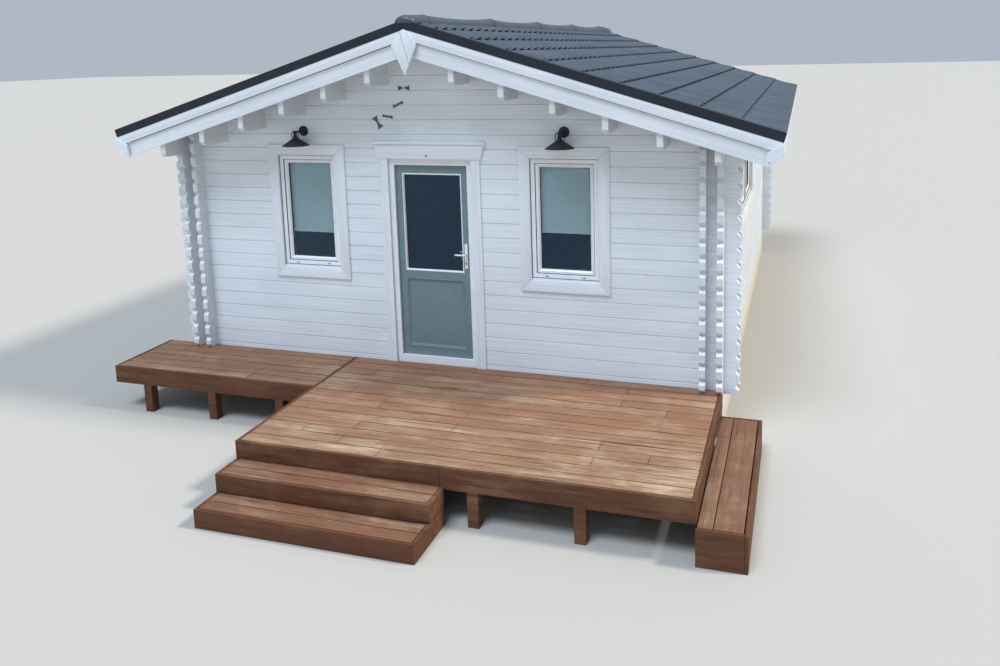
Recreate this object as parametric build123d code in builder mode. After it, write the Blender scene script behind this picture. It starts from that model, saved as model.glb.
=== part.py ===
"""A white garden chalet of interlocking twin-skin logs under a low gable roof, with its timber deck.

Sizes are in millimetres. X runs to the right along the front, Y from the front towards the back
and Z up. The origin is at ground level, on the middle of the plinth under the front wall.
"""

import os
from math import ceil, cos, dist, radians, sin, tan

from build123d import *

# Logs and walls
log_height = 145
log_thickness = 56
cavity = 98
house_width = 5740
house_length = 7640
log_reach = 130
log_reach_side = 140
log_end_radius = 36
groove_depth = 7
groove_width = 12
corner_turns = (0, 90)
shortest_edge = 0.01

# Plinth and floor
plinth_inset = 10
plinth_thickness = 300
floor_thickness = 70

# Roof
roof_pitch = 16.8
ridge_underside = 3738
eave_reach = 530
overhang = 380
ceiling_board = 20
insulation_depth = 100
batten_depth = 30
batten_width = 50
tile_module = 350
sheet_gauge = 3
wave_pitch = 183
wave_height = 22
wave_profile = ((0, 0), (0.3, 0), (0.65, 1))
sheet_gap = 10
lip_gap = 1
purlin_spacing = 480
first_purlin = 430
purlins_per_side = 5
purlin_depth = 290
ridge_purlin_depth = 145
purlin_end_cut = 32
ridge_cap_radius = 78
cap_play = 0.3
flashing_gauge = 3
flashing_face = 82
flashing_lip = 75

# Barge boards, finials and eave boards
barge_rise = 103
barge_depth = 244
barge_board = 22
barge_end_margin = 178
cover_board = 20
cover_depth = 76
cover_end_margin = 28
finial_board = 24
finial_width = 250
finial_height = 425
finial_shoulder = 145
finial_top_half = 49
finial_top_drop = 27
end_plate_width = 140
end_plate_height = 132
end_plate_lean = 22
end_plate_rise = 65
end_plate_drop = 15
fascia_board = 22
fascia_depth = 150
eave_overhang = 25

# Door
door_light_width = 782
door_light_bottom = 74
door_light_height = 1981
jamb_width = 66
frame_setback = 10
frame_lip = 25
frame_depth = 90
rebate = 20
leaf_gap = 5
leaf_thickness = 60
leaf_stile = 76
leaf_top_rail = 90
leaf_glass_bottom = 970
leaf_panel_bottom = 165
leaf_panel_height = 722
panel_recess = 12
glass_thickness = 24
knuckle_radius = 8
knuckle_height = 45
knuckle_gap = 0.3
hinge_offset = 12
hinge_flag = 5
hinge_flag_width = 34
hinge_heights = (250, 1070, 1830)
handle_height = 1160
handle_x = 348
handle_plate = (32, 256)
handle_plate_depth = 10
lever_length = 122
lever_diameter = 20
lever_standoff = 50
spindle_play = 0.3

# Windows
window_width = 669
window_height = 1168
window_bottom = 971
window_centre = 1378
window_profile = 89
window_depth = 75
side_window_y = 2920
side_window_width = 1960
side_window_bottom = 1235
side_window_lights = 2
casing_width = 110
casing_board = 18
casing_rise = 111
casing_drop = 128
door_casing_width = 92
door_casing_lap = 10
door_header_height = 165
door_header_width = 1188
door_header_foot = 1095
header_board = 26
blind_share = 0.657
blind_gauge = 3

# Lamps
lamp_x = 1392
lamp_height = 2392
lamp_plate_radius = 48
lamp_plate_depth = 18
lamp_arm_radius = 9
lamp_neck_radius = 24
lamp_neck_drop = 55
lamp_shade_taper = 51
lamp_shade_radius = 140
lamp_shade_drop = 82
lamp_shade_wall = 10
lamp_plate_sides = 24
lamp_neck_sides = 12
lamp_arm_sides = 6

# Deck and steps
step_rise = 155
step_going = 280
step_half_width = 940
deck_left = -942
deck_right = 2865
deck_depth = 2030
deck_board = 28
joist_depth = 150
joist_width = 45
joist_spacing = 420
post_width = 90
side_step_width = 365
side_step_length = 1930
side_step_start = 160
walkway_left = -3300
walkway_depth = 840

# Values worked out from the sizes above
wall_thickness = 2 * log_thickness + cavity
half_house = house_width / 2
roof_half_width = half_house + eave_reach
barge_end = roof_half_width - barge_end_margin
cover_end = roof_half_width - cover_end_margin
front = -wall_thickness / 2
back = front + house_length
inside = front + wall_thickness
inner_half = half_house - wall_thickness
deck_level = 3 * step_rise
plinth_height = deck_level - deck_board
half_log = log_height / 2
neck_side = log_height / 4
slope = tan(radians(roof_pitch))
upright = cos(radians(roof_pitch))
roof_front = front - overhang
roof_back = back + overhang
opening_half = door_light_width / 2 + jamb_width
leaf_glass_width = door_light_width - 2 * leaf_stile
leaf_glass_height = door_light_bottom + door_light_height - leaf_top_rail - leaf_glass_bottom
window_top = window_bottom + window_height
opening_top = deck_level + door_light_bottom + door_light_height + jamb_width
frame_front = front + frame_setback
os.makedirs("parts", exist_ok=True)


def save(shape, name):
    """Label a finished piece and write it to its own file."""
    shape.label = name
    export_step(shape, f"parts/{name}.step")


def underside(x):
    """Height of the ceiling boards' lower face at a distance x from the ridge line."""
    return ridge_underside - abs(x) * slope


def end_wall_plane(y):
    """An upright plane across the house at y, seen from the front."""
    return Plane.XZ.offset(-y)


def side_joints():
    """Heights of the joints between the side walls' logs."""
    count = ceil((underside(half_house) - plinth_height) / log_height)
    return [plinth_height + k * log_height for k in range(count)]


def end_joints():
    """Heights of the joints between the end walls' logs, half a log above those of the sides."""
    count = ceil((ridge_underside - plinth_height) / log_height)
    return [plinth_height + half_log + k * log_height for k in range(count)]


plate_joint = side_joints()[-2]
last_end_neck = plate_joint - log_height + neck_side


def log_ends(start, tip, heights):
    """A column of log ends with rounded corners, from start out to tip, between the joints.

    Each corner's curve is drawn in straight cuts between the angles in corner_turns.
    """
    outward = 1 if tip > start else -1
    points = [(start, heights[-1]), (start, heights[0])]
    for low, high in zip(heights[:-1], heights[1:]):
        radius = min(log_end_radius, (high - low) / 2)
        curve = [
            (radius * (1 - sin(radians(turn))), radius * (1 - cos(radians(turn))))
            for turn in corner_turns
        ]
        points += [(tip - outward * dx, low + dz) for dx, dz in curve]
        points += [(tip - outward * dx, high - dz) for dx, dz in reversed(curve)]
    corners = [p for p, q in zip(points, points[1:] + points[:1]) if dist(p, q) > shortest_edge]
    with BuildLine() as outline:
        Polyline(*corners, close=True)
    make_face(outline.edges())


def notches(face, inward, joints):
    """Corner points of the V-shaped joints on one face of a wall, from the bottom up."""
    points = []
    for joint in joints:
        points.append((face, joint - groove_width / 2))
        points.append((face + inward * groove_depth, joint))
        points.append((face, joint + groove_width / 2))
    return points


def end_wall(x_from, x_to, y_outer, outward, bottom=plinth_height, windows=()):
    """Part of a front or back wall under the roof, with its log ends where it reaches a corner."""
    y_inner = y_outer - outward * wall_thickness
    y_far = max(y_outer, y_inner)
    ends = [side for side, x in ((-1, x_from), (1, x_to)) if abs(x) >= inner_half]
    joints = [z for z in end_joints() if z > bottom + groove_width]
    fin_joints = [plinth_height] + [z for z in end_joints() if z < underside(half_house + log_reach_side)]
    with BuildPart() as wall:
        with BuildSketch(end_wall_plane(y_far)):
            with BuildLine():
                outline = [(x_from, bottom), (x_to, bottom), (x_to, underside(x_to))]
                if x_from < 0 < x_to:
                    outline.append((0, ridge_underside))
                outline.append((x_from, underside(x_from)))
                Polyline(*outline, close=True)
            make_face()
            for side in ends:
                for low in [z + neck_side for z in end_joints()] + [plinth_height]:
                    high = low + half_log if low > plinth_height else plinth_height + neck_side
                    if high <= last_end_neck + 1:
                        with Locations((side * (inner_half + wall_thickness / 2), (low + high) / 2)):
                            Rectangle(wall_thickness, high - low)
            for centre in windows:
                with Locations((centre, deck_level + window_bottom + window_height / 2)):
                    Rectangle(window_width, window_height, mode=Mode.SUBTRACT)
            for x in purlin_places():
                if x_from < x + log_thickness / 2 and x - log_thickness / 2 < x_to:
                    with Locations((x, underside(x))):
                        Rectangle(log_thickness, 2 * purlin_depth, mode=Mode.SUBTRACT)
            if x_from < 0 < x_to:
                with Locations((0, ridge_underside)):
                    Rectangle(log_thickness, 2 * ridge_purlin_depth, mode=Mode.SUBTRACT)
        extrude(amount=wall_thickness)
        reach = half_house + log_reach_side
        with BuildSketch(Plane.YZ.offset(-reach)):
            with BuildLine():
                Polyline(
                    (y_outer, bottom),
                    *notches(y_outer, -outward, joints),
                    (y_outer, ridge_underside),
                    (y_inner, ridge_underside),
                    (y_inner, bottom),
                    close=True,
                )
            make_face()
        extrude(amount=2 * reach, mode=Mode.INTERSECT)
        for side in ends:
            for skin in (0, log_thickness + cavity):
                with BuildSketch(end_wall_plane(y_far - skin)):
                    log_ends(side * half_house, side * (half_house + log_reach_side), fin_joints)
                extrude(amount=log_thickness)
    return wall.part


def purlin_places():
    """Distances of the purlins' centre lines from the ridge line, on both slopes."""
    right = [first_purlin + k * purlin_spacing for k in range(purlins_per_side)]
    return [-x for x in reversed(right)] + right


# Plinth: four strips of painted masonry, with a ledge inside the walls for the floor
plinth_half = half_house - plinth_inset
plinth_front_y = front + plinth_inset
plinth_back_y = back - plinth_inset
for name, x_from, x_to, y_from, y_to in (
    ("plinth_front", -plinth_half, plinth_half, plinth_front_y, plinth_front_y + plinth_thickness),
    ("plinth_back", -plinth_half, plinth_half, plinth_back_y - plinth_thickness, plinth_back_y),
    (
        "plinth_left",
        -plinth_half,
        -plinth_half + plinth_thickness,
        plinth_front_y + plinth_thickness,
        plinth_back_y - plinth_thickness,
    ),
    (
        "plinth_right",
        plinth_half - plinth_thickness,
        plinth_half,
        plinth_front_y + plinth_thickness,
        plinth_back_y - plinth_thickness,
    ),
):
    with BuildPart() as strip:
        with BuildSketch():
            with Locations(((x_from + x_to) / 2, (y_from + y_to) / 2)):
                Rectangle(x_to - x_from, y_to - y_from)
        extrude(amount=plinth_height)
    save(strip.part, name)

with BuildPart() as floor:
    with BuildSketch(Plane.XY.offset(plinth_height)):
        with Locations((0, (inside + back - wall_thickness) / 2)):
            Rectangle(2 * inner_half, house_length - 2 * wall_thickness)
    extrude(amount=floor_thickness)
save(floor.part, "floor")

# Front wall in three parts round the doorway, and the back wall in one
save(
    end_wall(-inner_half, -opening_half, front, -1, windows=(-window_centre,)),
    "front_wall_left",
)
save(
    end_wall(opening_half, inner_half, front, -1, windows=(window_centre,)),
    "front_wall_right",
)
save(end_wall(-opening_half, opening_half, front, -1, bottom=opening_top), "front_wall_over_door")
save(end_wall(-inner_half, inner_half, back, 1, windows=(0,)), "back_wall")

# Right wall: logs between the crossings, necks in the crossings, ends beyond them, and a
# rebate in the outer skin for the plate
with BuildPart() as right_wall:
    with BuildSketch(Plane.YZ.offset(inner_half)):
        with BuildLine():
            Polyline(
                (inside, plinth_height),
                (back - wall_thickness, plinth_height),
                (back - wall_thickness, underside(inner_half)),
                (inside, underside(inner_half)),
                close=True,
            )
        make_face()
        with Locations((side_window_y, deck_level + (side_window_bottom + window_top) / 2)):
            Rectangle(side_window_width, window_top - side_window_bottom, mode=Mode.SUBTRACT)
        for middle in (front + wall_thickness / 2, back - wall_thickness / 2):
            for joint in side_joints():
                low = joint + neck_side
                if low < last_end_neck - 1:
                    with Locations((middle, low + half_log / 2)):
                        Rectangle(wall_thickness, half_log)
            top = underside(inner_half)
            with Locations((middle, (last_end_neck + top) / 2)):
                Rectangle(wall_thickness, top - last_end_neck)
    extrude(amount=wall_thickness)
    with BuildSketch(end_wall_plane(back + log_reach)):
        with BuildLine():
            face_joints = [z for z in side_joints()[1:] if z < plate_joint]
            Polyline(
                (inner_half, plinth_height),
                (inner_half, underside(inner_half)),
                (half_house - log_thickness, underside(half_house - log_thickness)),
                (half_house - log_thickness, plate_joint),
                (half_house, plate_joint),
                *reversed(notches(half_house, -1, face_joints)),
                (half_house, plinth_height),
                close=True,
            )
        make_face()
    extrude(amount=house_length + 2 * log_reach, mode=Mode.INTERSECT)
    for skin, head in ((0, underside(half_house)), (log_thickness + cavity, plate_joint)):
        for face, tip, foot in (
            (front, front - log_reach, deck_level),
            (back, back + log_reach, plinth_height),
        ):
            column = [foot] + [z for z in side_joints() if foot < z < head] + [head]
            with BuildSketch(Plane.YZ.offset(inner_half + skin)):
                log_ends(face, tip, column)
            extrude(amount=log_thickness)
save(right_wall.part, "right_wall")

with BuildPart() as left_wall:
    mirror(right_wall.part, about=Plane.YZ)
save(left_wall.part, "left_wall")

# Purlins and wall plates with bevelled tops and rounded ends, and the shallower ridge purlin
plate_x = half_house - log_thickness / 2
with BuildPart() as purlins:
    feet = [(x, underside(x) - purlin_depth) for x in purlin_places()]
    feet += [(-plate_x, plate_joint), (plate_x, plate_joint)]
    for x, foot in feet:
        with BuildSketch(end_wall_plane(roof_back)):
            with BuildLine():
                Polyline(
                    (x - log_thickness / 2, foot),
                    (x + log_thickness / 2, foot),
                    (x + log_thickness / 2, underside(x + log_thickness / 2)),
                    (x - log_thickness / 2, underside(x - log_thickness / 2)),
                    close=True,
                )
            make_face()
        extrude(amount=roof_back - roof_front)
    bottom_ends = (
        purlins.edges()
        .filter_by(Axis.X)
        .filter_by(lambda edge: abs(edge.center().Y - (front + back) / 2) > house_length / 2)
    )
    chamfer(bottom_ends, length=purlin_end_cut)
save(purlins.part, "purlins")

with BuildPart() as ridge_purlin:
    with BuildSketch(end_wall_plane(roof_back)):
        with BuildLine():
            Polyline(
                (-log_thickness / 2, ridge_underside - ridge_purlin_depth),
                (log_thickness / 2, ridge_underside - ridge_purlin_depth),
                (log_thickness / 2, underside(log_thickness / 2)),
                (0, ridge_underside),
                (-log_thickness / 2, underside(log_thickness / 2)),
                close=True,
            )
        make_face()
    extrude(amount=roof_back - roof_front)
save(ridge_purlin.part, "ridge_purlin")


def both_slopes(shape, name):
    """Write a piece of the right slope and its mirror image on the left slope."""
    save(shape, f"{name}_right")
    with BuildPart() as left:
        mirror(shape, about=Plane.YZ)
    save(left.part, f"{name}_left")


def slope_layer(low, high, reach):
    """A flat layer of the right slope, between two distances above the underside."""
    with BuildPart() as layer:
        with BuildSketch(end_wall_plane(roof_back)):
            with BuildLine():
                Polyline(
                    (0, ridge_underside + low / upright),
                    (reach, underside(reach) + low / upright),
                    (reach, underside(reach) + high / upright),
                    (0, ridge_underside + high / upright),
                    close=True,
                )
            make_face()
        extrude(amount=roof_back - roof_front)
    return layer.part


# Layers of the roof
fascia_back = roof_half_width - fascia_board - eave_overhang
insulation_top = ceiling_board + insulation_depth
batten_top = insulation_top + batten_depth
sheet_top = batten_top + wave_height + sheet_gauge
both_slopes(slope_layer(0, ceiling_board, fascia_back), "roof_boards")
both_slopes(slope_layer(ceiling_board, insulation_top, fascia_back), "roof_insulation")

# A plane on the right slope's underside, with its X down the slope and its Z square to it
slope_plane = Plane(
    origin=(0, 0, ridge_underside),
    x_dir=(upright, 0, -upright * slope),
    z_dir=(upright * slope, 0, upright),
)
# A plane square to the slope's fall, with its X along the ridge and its Y square to the slope
fall_plane = Plane(
    origin=(0, 0, ridge_underside),
    x_dir=(0, 1, 0),
    z_dir=(upright, 0, -upright * slope),
)
slope_length = (roof_half_width - (sheet_top + flashing_gauge) * upright * slope) / upright
rows = int(slope_length // tile_module)
middle_y = (front + back) / 2

with BuildPart() as battens:
    with BuildSketch(slope_plane.offset(insulation_top)):
        for row in range(rows):
            with Locations((fascia_back / upright - batten_width - row * tile_module, middle_y)):
                Rectangle(batten_width, roof_back - roof_front)
    extrude(amount=batten_depth)
    mirror(battens.part, about=Plane.YZ)
save(battens.part, "roof_battens")

# Metal sheet in waves: each has a flat trough, a rise to its crest and a fall to the next trough
with BuildPart() as sheet:
    sheet_start = sheet_gap + sheet_top * slope
    waves = ceil((roof_back - roof_front) / wave_pitch)
    start = middle_y - waves * wave_pitch / 2
    with BuildSketch(fall_plane.offset(sheet_start)):
        with BuildLine():
            crests = []
            for wave in range(waves):
                for share, lift in wave_profile:
                    crests.append((start + (wave + share) * wave_pitch, batten_top + lift * wave_height))
            crests.append((start + waves * wave_pitch, batten_top))
            tops = [(y, z + sheet_gauge) for y, z in reversed(crests)]
            Polyline(*crests, *tops, close=True)
        make_face()
    extrude(amount=slope_length - sheet_start)
both_slopes(sheet.part, "roof_sheet")

# Verge flashings: an upright face and a lip over the sheet, at the front and the back
with BuildPart() as verges:
    verge_top = sheet_top + lip_gap
    for edge, outward in ((roof_front, -1), (roof_back, 1)):
        face = edge + outward * (barge_board + cover_board + flashing_gauge)
        with BuildSketch(fall_plane.offset(-sheet_top)):
            with BuildLine():
                Polyline(
                    (face, verge_top + flashing_gauge),
                    (face - outward * flashing_lip, verge_top + flashing_gauge),
                    (face - outward * flashing_lip, verge_top),
                    (face - outward * flashing_gauge, verge_top),
                    (face - outward * flashing_gauge, verge_top + flashing_gauge - flashing_face),
                    (face, verge_top + flashing_gauge - flashing_face),
                    close=True,
                )
            make_face()
        extrude(amount=slope_length + sheet_top)
    split(bisect_by=Plane.YZ, keep=Keep.TOP)
both_slopes(verges.part, "verge_flashings")

# Ridge cap: a half-round metal cap along the whole ridge
with BuildPart() as ridge_cap:
    cap_foot = ridge_underside + (verge_top + flashing_gauge) / upright + cap_play
    cap_foot -= (ridge_cap_radius - flashing_gauge) * slope
    cap_front = roof_front - barge_board - cover_board - flashing_gauge
    cap_back = roof_back + barge_board + cover_board + flashing_gauge
    with BuildSketch(end_wall_plane(cap_back)):
        with BuildLine():
            for radius in (ridge_cap_radius, ridge_cap_radius - flashing_gauge):
                CenterArc((0, cap_foot), radius, 0, 180)
            for side in (-1, 1):
                Line(
                    (side * ridge_cap_radius, cap_foot),
                    (side * (ridge_cap_radius - flashing_gauge), cap_foot),
                )
        make_face()
    extrude(amount=cap_back - cap_front)
save(ridge_cap.part, "ridge_cap")


def barge(depth, knee, reach, tip_rise, y_near, y_far):
    """A pair of sloping boards of the right slope, at the front and the back.

    The lower edge follows the slope to the knee, and rises by tip_rise from there to the end.
    """
    foot = underside(knee) + barge_rise - depth
    with BuildPart() as boards:
        for low_y, high_y in ((y_near, y_far), (2 * middle_y - y_far, 2 * middle_y - y_near)):
            with BuildSketch(end_wall_plane(high_y)):
                with BuildLine():
                    Polyline(
                        (0, ridge_underside + barge_rise),
                        (reach, underside(reach) + barge_rise),
                        (reach, foot + tip_rise),
                        (knee, foot),
                        (0, ridge_underside + barge_rise - depth),
                        close=True,
                    )
                make_face()
            extrude(amount=high_y - low_y)
    return boards.part


barge_face = roof_front - barge_board
cover_face = barge_face - cover_board
barge_tip = barge_end + end_plate_width
cover_fall = (barge_end - cover_end) * slope
both_slopes(
    barge(barge_depth, barge_end, barge_tip, end_plate_rise, barge_face, roof_front), "barge_boards"
)
both_slopes(
    barge(cover_depth, barge_end, cover_end, cover_fall, cover_face, barge_face), "barge_covers"
)

# Finials over the meeting of the barge boards
with BuildPart() as finials:
    for low_y in (cover_face - finial_board, 2 * middle_y - cover_face):
        with BuildSketch(end_wall_plane(low_y + finial_board)):
            with BuildLine():
                finial_top = ridge_underside + (verge_top + flashing_gauge - flashing_face) / upright
                Polyline(
                    (0, finial_top),
                    (finial_top_half, finial_top - finial_top_drop),
                    (finial_width / 2, finial_top - finial_shoulder),
                    (0, finial_top - finial_height),
                    (-finial_width / 2, finial_top - finial_shoulder),
                    (-finial_top_half, finial_top - finial_top_drop),
                    close=True,
                )
            make_face()
        extrude(amount=finial_board)
save(finials.part, "finials")

# Plates over the barge boards' feet, leaning out square to the slope, with rising edges
with BuildPart() as barge_end_plates:
    plate_foot = underside(barge_end) + barge_rise - barge_depth - end_plate_drop
    for low_y in (cover_face - finial_board, 2 * middle_y - cover_face):
        for side in (-1, 1):
            with BuildSketch(end_wall_plane(low_y + finial_board)):
                with BuildLine():
                    Polyline(
                        (side * barge_end, plate_foot),
                        (side * (barge_end + end_plate_lean), plate_foot + end_plate_height),
                        (
                            side * (barge_end + end_plate_lean + end_plate_width),
                            plate_foot + end_plate_height + end_plate_rise,
                        ),
                        (side * (barge_end + end_plate_width), plate_foot + end_plate_rise),
                        close=True,
                    )
                make_face()
            extrude(amount=finial_board)
save(barge_end_plates.part, "barge_end_plates")

# Eave boards along both sides
with BuildPart() as fascia:
    with BuildSketch(end_wall_plane(roof_back)):
        with BuildLine():
            fascia_face = fascia_back + fascia_board
            fascia_foot = underside(fascia_face) + insulation_top / upright - fascia_depth
            Polyline(
                (fascia_back, fascia_foot),
                (fascia_face, fascia_foot),
                (fascia_face, underside(fascia_face) + insulation_top / upright),
                (fascia_back, underside(fascia_back) + insulation_top / upright),
                close=True,
            )
        make_face()
    extrude(amount=roof_back - roof_front)
    mirror(fascia.part, about=Plane.YZ)
save(fascia.part, "eave_boards")

# Door frame: a stepped ring with an outer lip
light_half = door_light_width / 2
light_bottom = deck_level + door_light_bottom
light_top = light_bottom + door_light_height
with BuildPart() as door_frame:
    with BuildSketch(end_wall_plane(frame_front + frame_depth)):
        with Locations((0, (plinth_height + opening_top) / 2)):
            Rectangle(2 * opening_half, opening_top - plinth_height)
        with Locations((0, (light_bottom + light_top) / 2)):
            Rectangle(
                door_light_width + 2 * rebate,
                door_light_height + 2 * rebate,
                mode=Mode.SUBTRACT,
            )
    extrude(amount=frame_depth)
    with BuildSketch(end_wall_plane(frame_front + frame_lip)):
        with Locations((0, (light_bottom + light_top) / 2)):
            Rectangle(door_light_width + 2 * rebate, door_light_height + 2 * rebate)
            Rectangle(door_light_width, door_light_height, mode=Mode.SUBTRACT)
    extrude(amount=frame_lip)
save(door_frame.part, "door_frame")

# Door leaf: one panel with a glazed opening above and a recessed field below
leaf_half = light_half + rebate - leaf_gap
leaf_bottom = light_bottom - rebate + leaf_gap
leaf_top = light_top + rebate - leaf_gap
leaf_front = frame_front + frame_lip + leaf_gap
leaf_back = leaf_front + leaf_thickness
glass_low = deck_level + leaf_glass_bottom
hinge_x = -leaf_half - hinge_offset
hinge_y = leaf_back + hinge_offset
with BuildPart() as door_leaf:
    with BuildSketch(end_wall_plane(leaf_back)):
        with Locations((0, (leaf_bottom + leaf_top) / 2)):
            Rectangle(2 * leaf_half, leaf_top - leaf_bottom)
        with Locations((0, glass_low + leaf_glass_height / 2)):
            Rectangle(leaf_glass_width, leaf_glass_height, mode=Mode.SUBTRACT)
    extrude(amount=leaf_thickness)
    for face in (leaf_front + panel_recess, leaf_back):
        with BuildSketch(end_wall_plane(face)):
            with Locations((0, deck_level + leaf_panel_bottom + leaf_panel_height / 2)):
                Rectangle(leaf_glass_width, leaf_panel_height)
        extrude(amount=panel_recess, mode=Mode.SUBTRACT)
    with BuildSketch(end_wall_plane(leaf_back)):
        with Locations((handle_x, deck_level + handle_height)):
            Circle(lever_diameter / 2 + spindle_play)
    extrude(amount=leaf_thickness, mode=Mode.SUBTRACT)
save(door_leaf.part, "door_leaf")

with BuildPart() as door_glass:
    with BuildSketch(end_wall_plane(leaf_front + (leaf_thickness + glass_thickness) / 2)):
        with Locations((0, glass_low + leaf_glass_height / 2)):
            Rectangle(leaf_glass_width, leaf_glass_height)
    extrude(amount=glass_thickness)
save(door_glass.part, "door_glass")

# Hinges: on each, a fixed knuckle on the frame below a knuckle that turns with the leaf
frame_back = frame_front + frame_depth


def knuckles(name, bottom, plate_x, plate_y):
    """Three knuckles on the hinge line, each with an arm and a flat flag."""
    with BuildPart() as hinges:
        for height in hinge_heights:
            with BuildSketch(Plane.XY.offset(deck_level + height + bottom)):
                with Locations((hinge_x, hinge_y)):
                    Circle(knuckle_radius)
                with Locations(((hinge_x + plate_x) / 2, hinge_y)):
                    Rectangle(abs(plate_x - hinge_x), knuckle_radius)
                outward = 1 if plate_x > hinge_x else -1
                flag_depth = hinge_y + knuckle_radius / 2 - plate_y
                with Locations((plate_x + outward * hinge_flag_width / 2, plate_y + flag_depth / 2)):
                    Rectangle(hinge_flag_width, flag_depth)
            extrude(amount=knuckle_height)
    save(hinges.part, name)


knuckles("hinge_knuckles_frame", 0, hinge_x - hinge_flag, frame_back)
knuckles("hinge_knuckles_leaf", knuckle_height + knuckle_gap, -leaf_half, leaf_back)

# Handle plates on both faces of the leaf, and one pair of levers on a spindle through it
spindle_z = deck_level + handle_height
plate_z = spindle_z - lever_diameter
with BuildPart() as handle_plates:
    for y_from, y_to in (
        (leaf_front - handle_plate_depth, leaf_front),
        (leaf_back, leaf_back + handle_plate_depth),
    ):
        with BuildSketch(end_wall_plane(y_to)):
            with Locations((handle_x, plate_z)):
                Rectangle(handle_plate[0], handle_plate[1])
            with Locations((handle_x, spindle_z)):
                Circle(lever_diameter / 2 + spindle_play, mode=Mode.SUBTRACT)
        extrude(amount=y_to - y_from)
save(handle_plates.part, "handle_plates")

with BuildPart() as door_lever:
    lever_front = leaf_front - lever_standoff
    lever_back = leaf_back + lever_standoff
    with BuildSketch(end_wall_plane(lever_back)):
        with Locations((handle_x, spindle_z)):
            Circle(lever_diameter / 2)
    extrude(amount=lever_back - lever_front)
    for y in (lever_front, lever_back):
        with BuildSketch(Plane.YZ.offset(handle_x + lever_diameter / 2)):
            with Locations((y, spindle_z)):
                Circle(lever_diameter / 2)
        extrude(amount=-lever_length)
save(door_lever.part, "door_lever")

# Door casing boards and the shaped head board
casing_top = opening_top
with BuildPart() as door_casing:
    for side in (-1, 1):
        with BuildSketch(end_wall_plane(front)):
            with Locations(
                (
                    side * (opening_half + door_casing_width / 2 - door_casing_lap),
                    (deck_level + casing_top) / 2,
                )
            ):
                Rectangle(door_casing_width, casing_top - deck_level)
        extrude(amount=casing_board)
save(door_casing.part, "door_casing")

with BuildPart() as door_head_board:
    with BuildSketch(end_wall_plane(front)):
        with BuildLine():
            Polyline(
                (-door_header_foot / 2, casing_top),
                (door_header_foot / 2, casing_top),
                (door_header_width / 2, casing_top + door_header_height),
                (-door_header_width / 2, casing_top + door_header_height),
                close=True,
            )
        make_face()
    extrude(amount=header_board)
save(door_head_board.part, "door_head_board")


# Windows: on each a plane on the wall's outer face, seen from outside, with the place of its
# middle, its width, its foot above the deck and its number of lights
front_plane = end_wall_plane(front)
back_plane = Plane(origin=(0, back, 0), x_dir=(-1, 0, 0), z_dir=(0, 1, 0))
right_plane = Plane.YZ.offset(half_house)
left_plane = Plane(origin=(-half_house, 0, 0), x_dir=(0, -1, 0), z_dir=(-1, 0, 0))
window_places = (
    (front_plane, -window_centre, window_width, window_bottom, 1),
    (front_plane, window_centre, window_width, window_bottom, 1),
    (back_plane, 0, window_width, window_bottom, 1),
    (right_plane, side_window_y, side_window_width, side_window_bottom, side_window_lights),
    (left_plane, -side_window_y, side_window_width, side_window_bottom, side_window_lights),
)


def light_places(x, width, foot, lights):
    """Middles of a window's lights on its wall, and the size that they share."""
    share = width / lights
    z = deck_level + (foot + window_top) / 2
    middles = [(x - width / 2 + (k + 0.5) * share, z) for k in range(lights)]
    return middles, share - 2 * window_profile, window_top - foot - 2 * window_profile


with BuildPart() as window_frames:
    for plane, x, width, foot, lights in window_places:
        middles, light_width, light_height = light_places(x, width, foot, lights)
        with BuildSketch(plane.offset(-frame_setback)):
            with Locations((x, deck_level + (foot + window_top) / 2)):
                Rectangle(width, window_top - foot)
            with Locations(*middles):
                Rectangle(light_width, light_height, mode=Mode.SUBTRACT)
        extrude(amount=-window_depth)
save(window_frames.part, "window_frames")

with BuildPart() as window_glass:
    for plane, x, width, foot, lights in window_places:
        middles, light_width, light_height = light_places(x, width, foot, lights)
        with BuildSketch(plane.offset(-frame_setback - window_depth / 2)):
            with Locations(*middles):
                Rectangle(light_width, light_height)
        extrude(amount=-glass_thickness)
save(window_glass.part, "window_glass")

with BuildPart() as window_casings:
    for plane, x, width, foot, _ in window_places:
        height = window_top - foot + casing_rise + casing_drop
        with BuildSketch(plane):
            with Locations((x, deck_level + foot - casing_drop + height / 2)):
                Rectangle(width + 2 * casing_width, height)
                Rectangle(width, height - 2 * casing_width, mode=Mode.SUBTRACT)
        extrude(amount=casing_board)
save(window_casings.part, "window_casings")

# Roller blinds let down behind the glass
with BuildPart() as window_blinds:
    for plane, x, width, foot, lights in window_places:
        middles, light_width, light_height = light_places(x, width, foot, lights)
        blind = light_height * blind_share
        with BuildSketch(plane.offset(-frame_setback - window_depth)):
            for across, z in middles:
                with Locations((across, z + (light_height - blind) / 2)):
                    Rectangle(light_width + window_profile, blind)
        extrude(amount=-blind_gauge)
save(window_blinds.part, "window_blinds")

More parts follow.
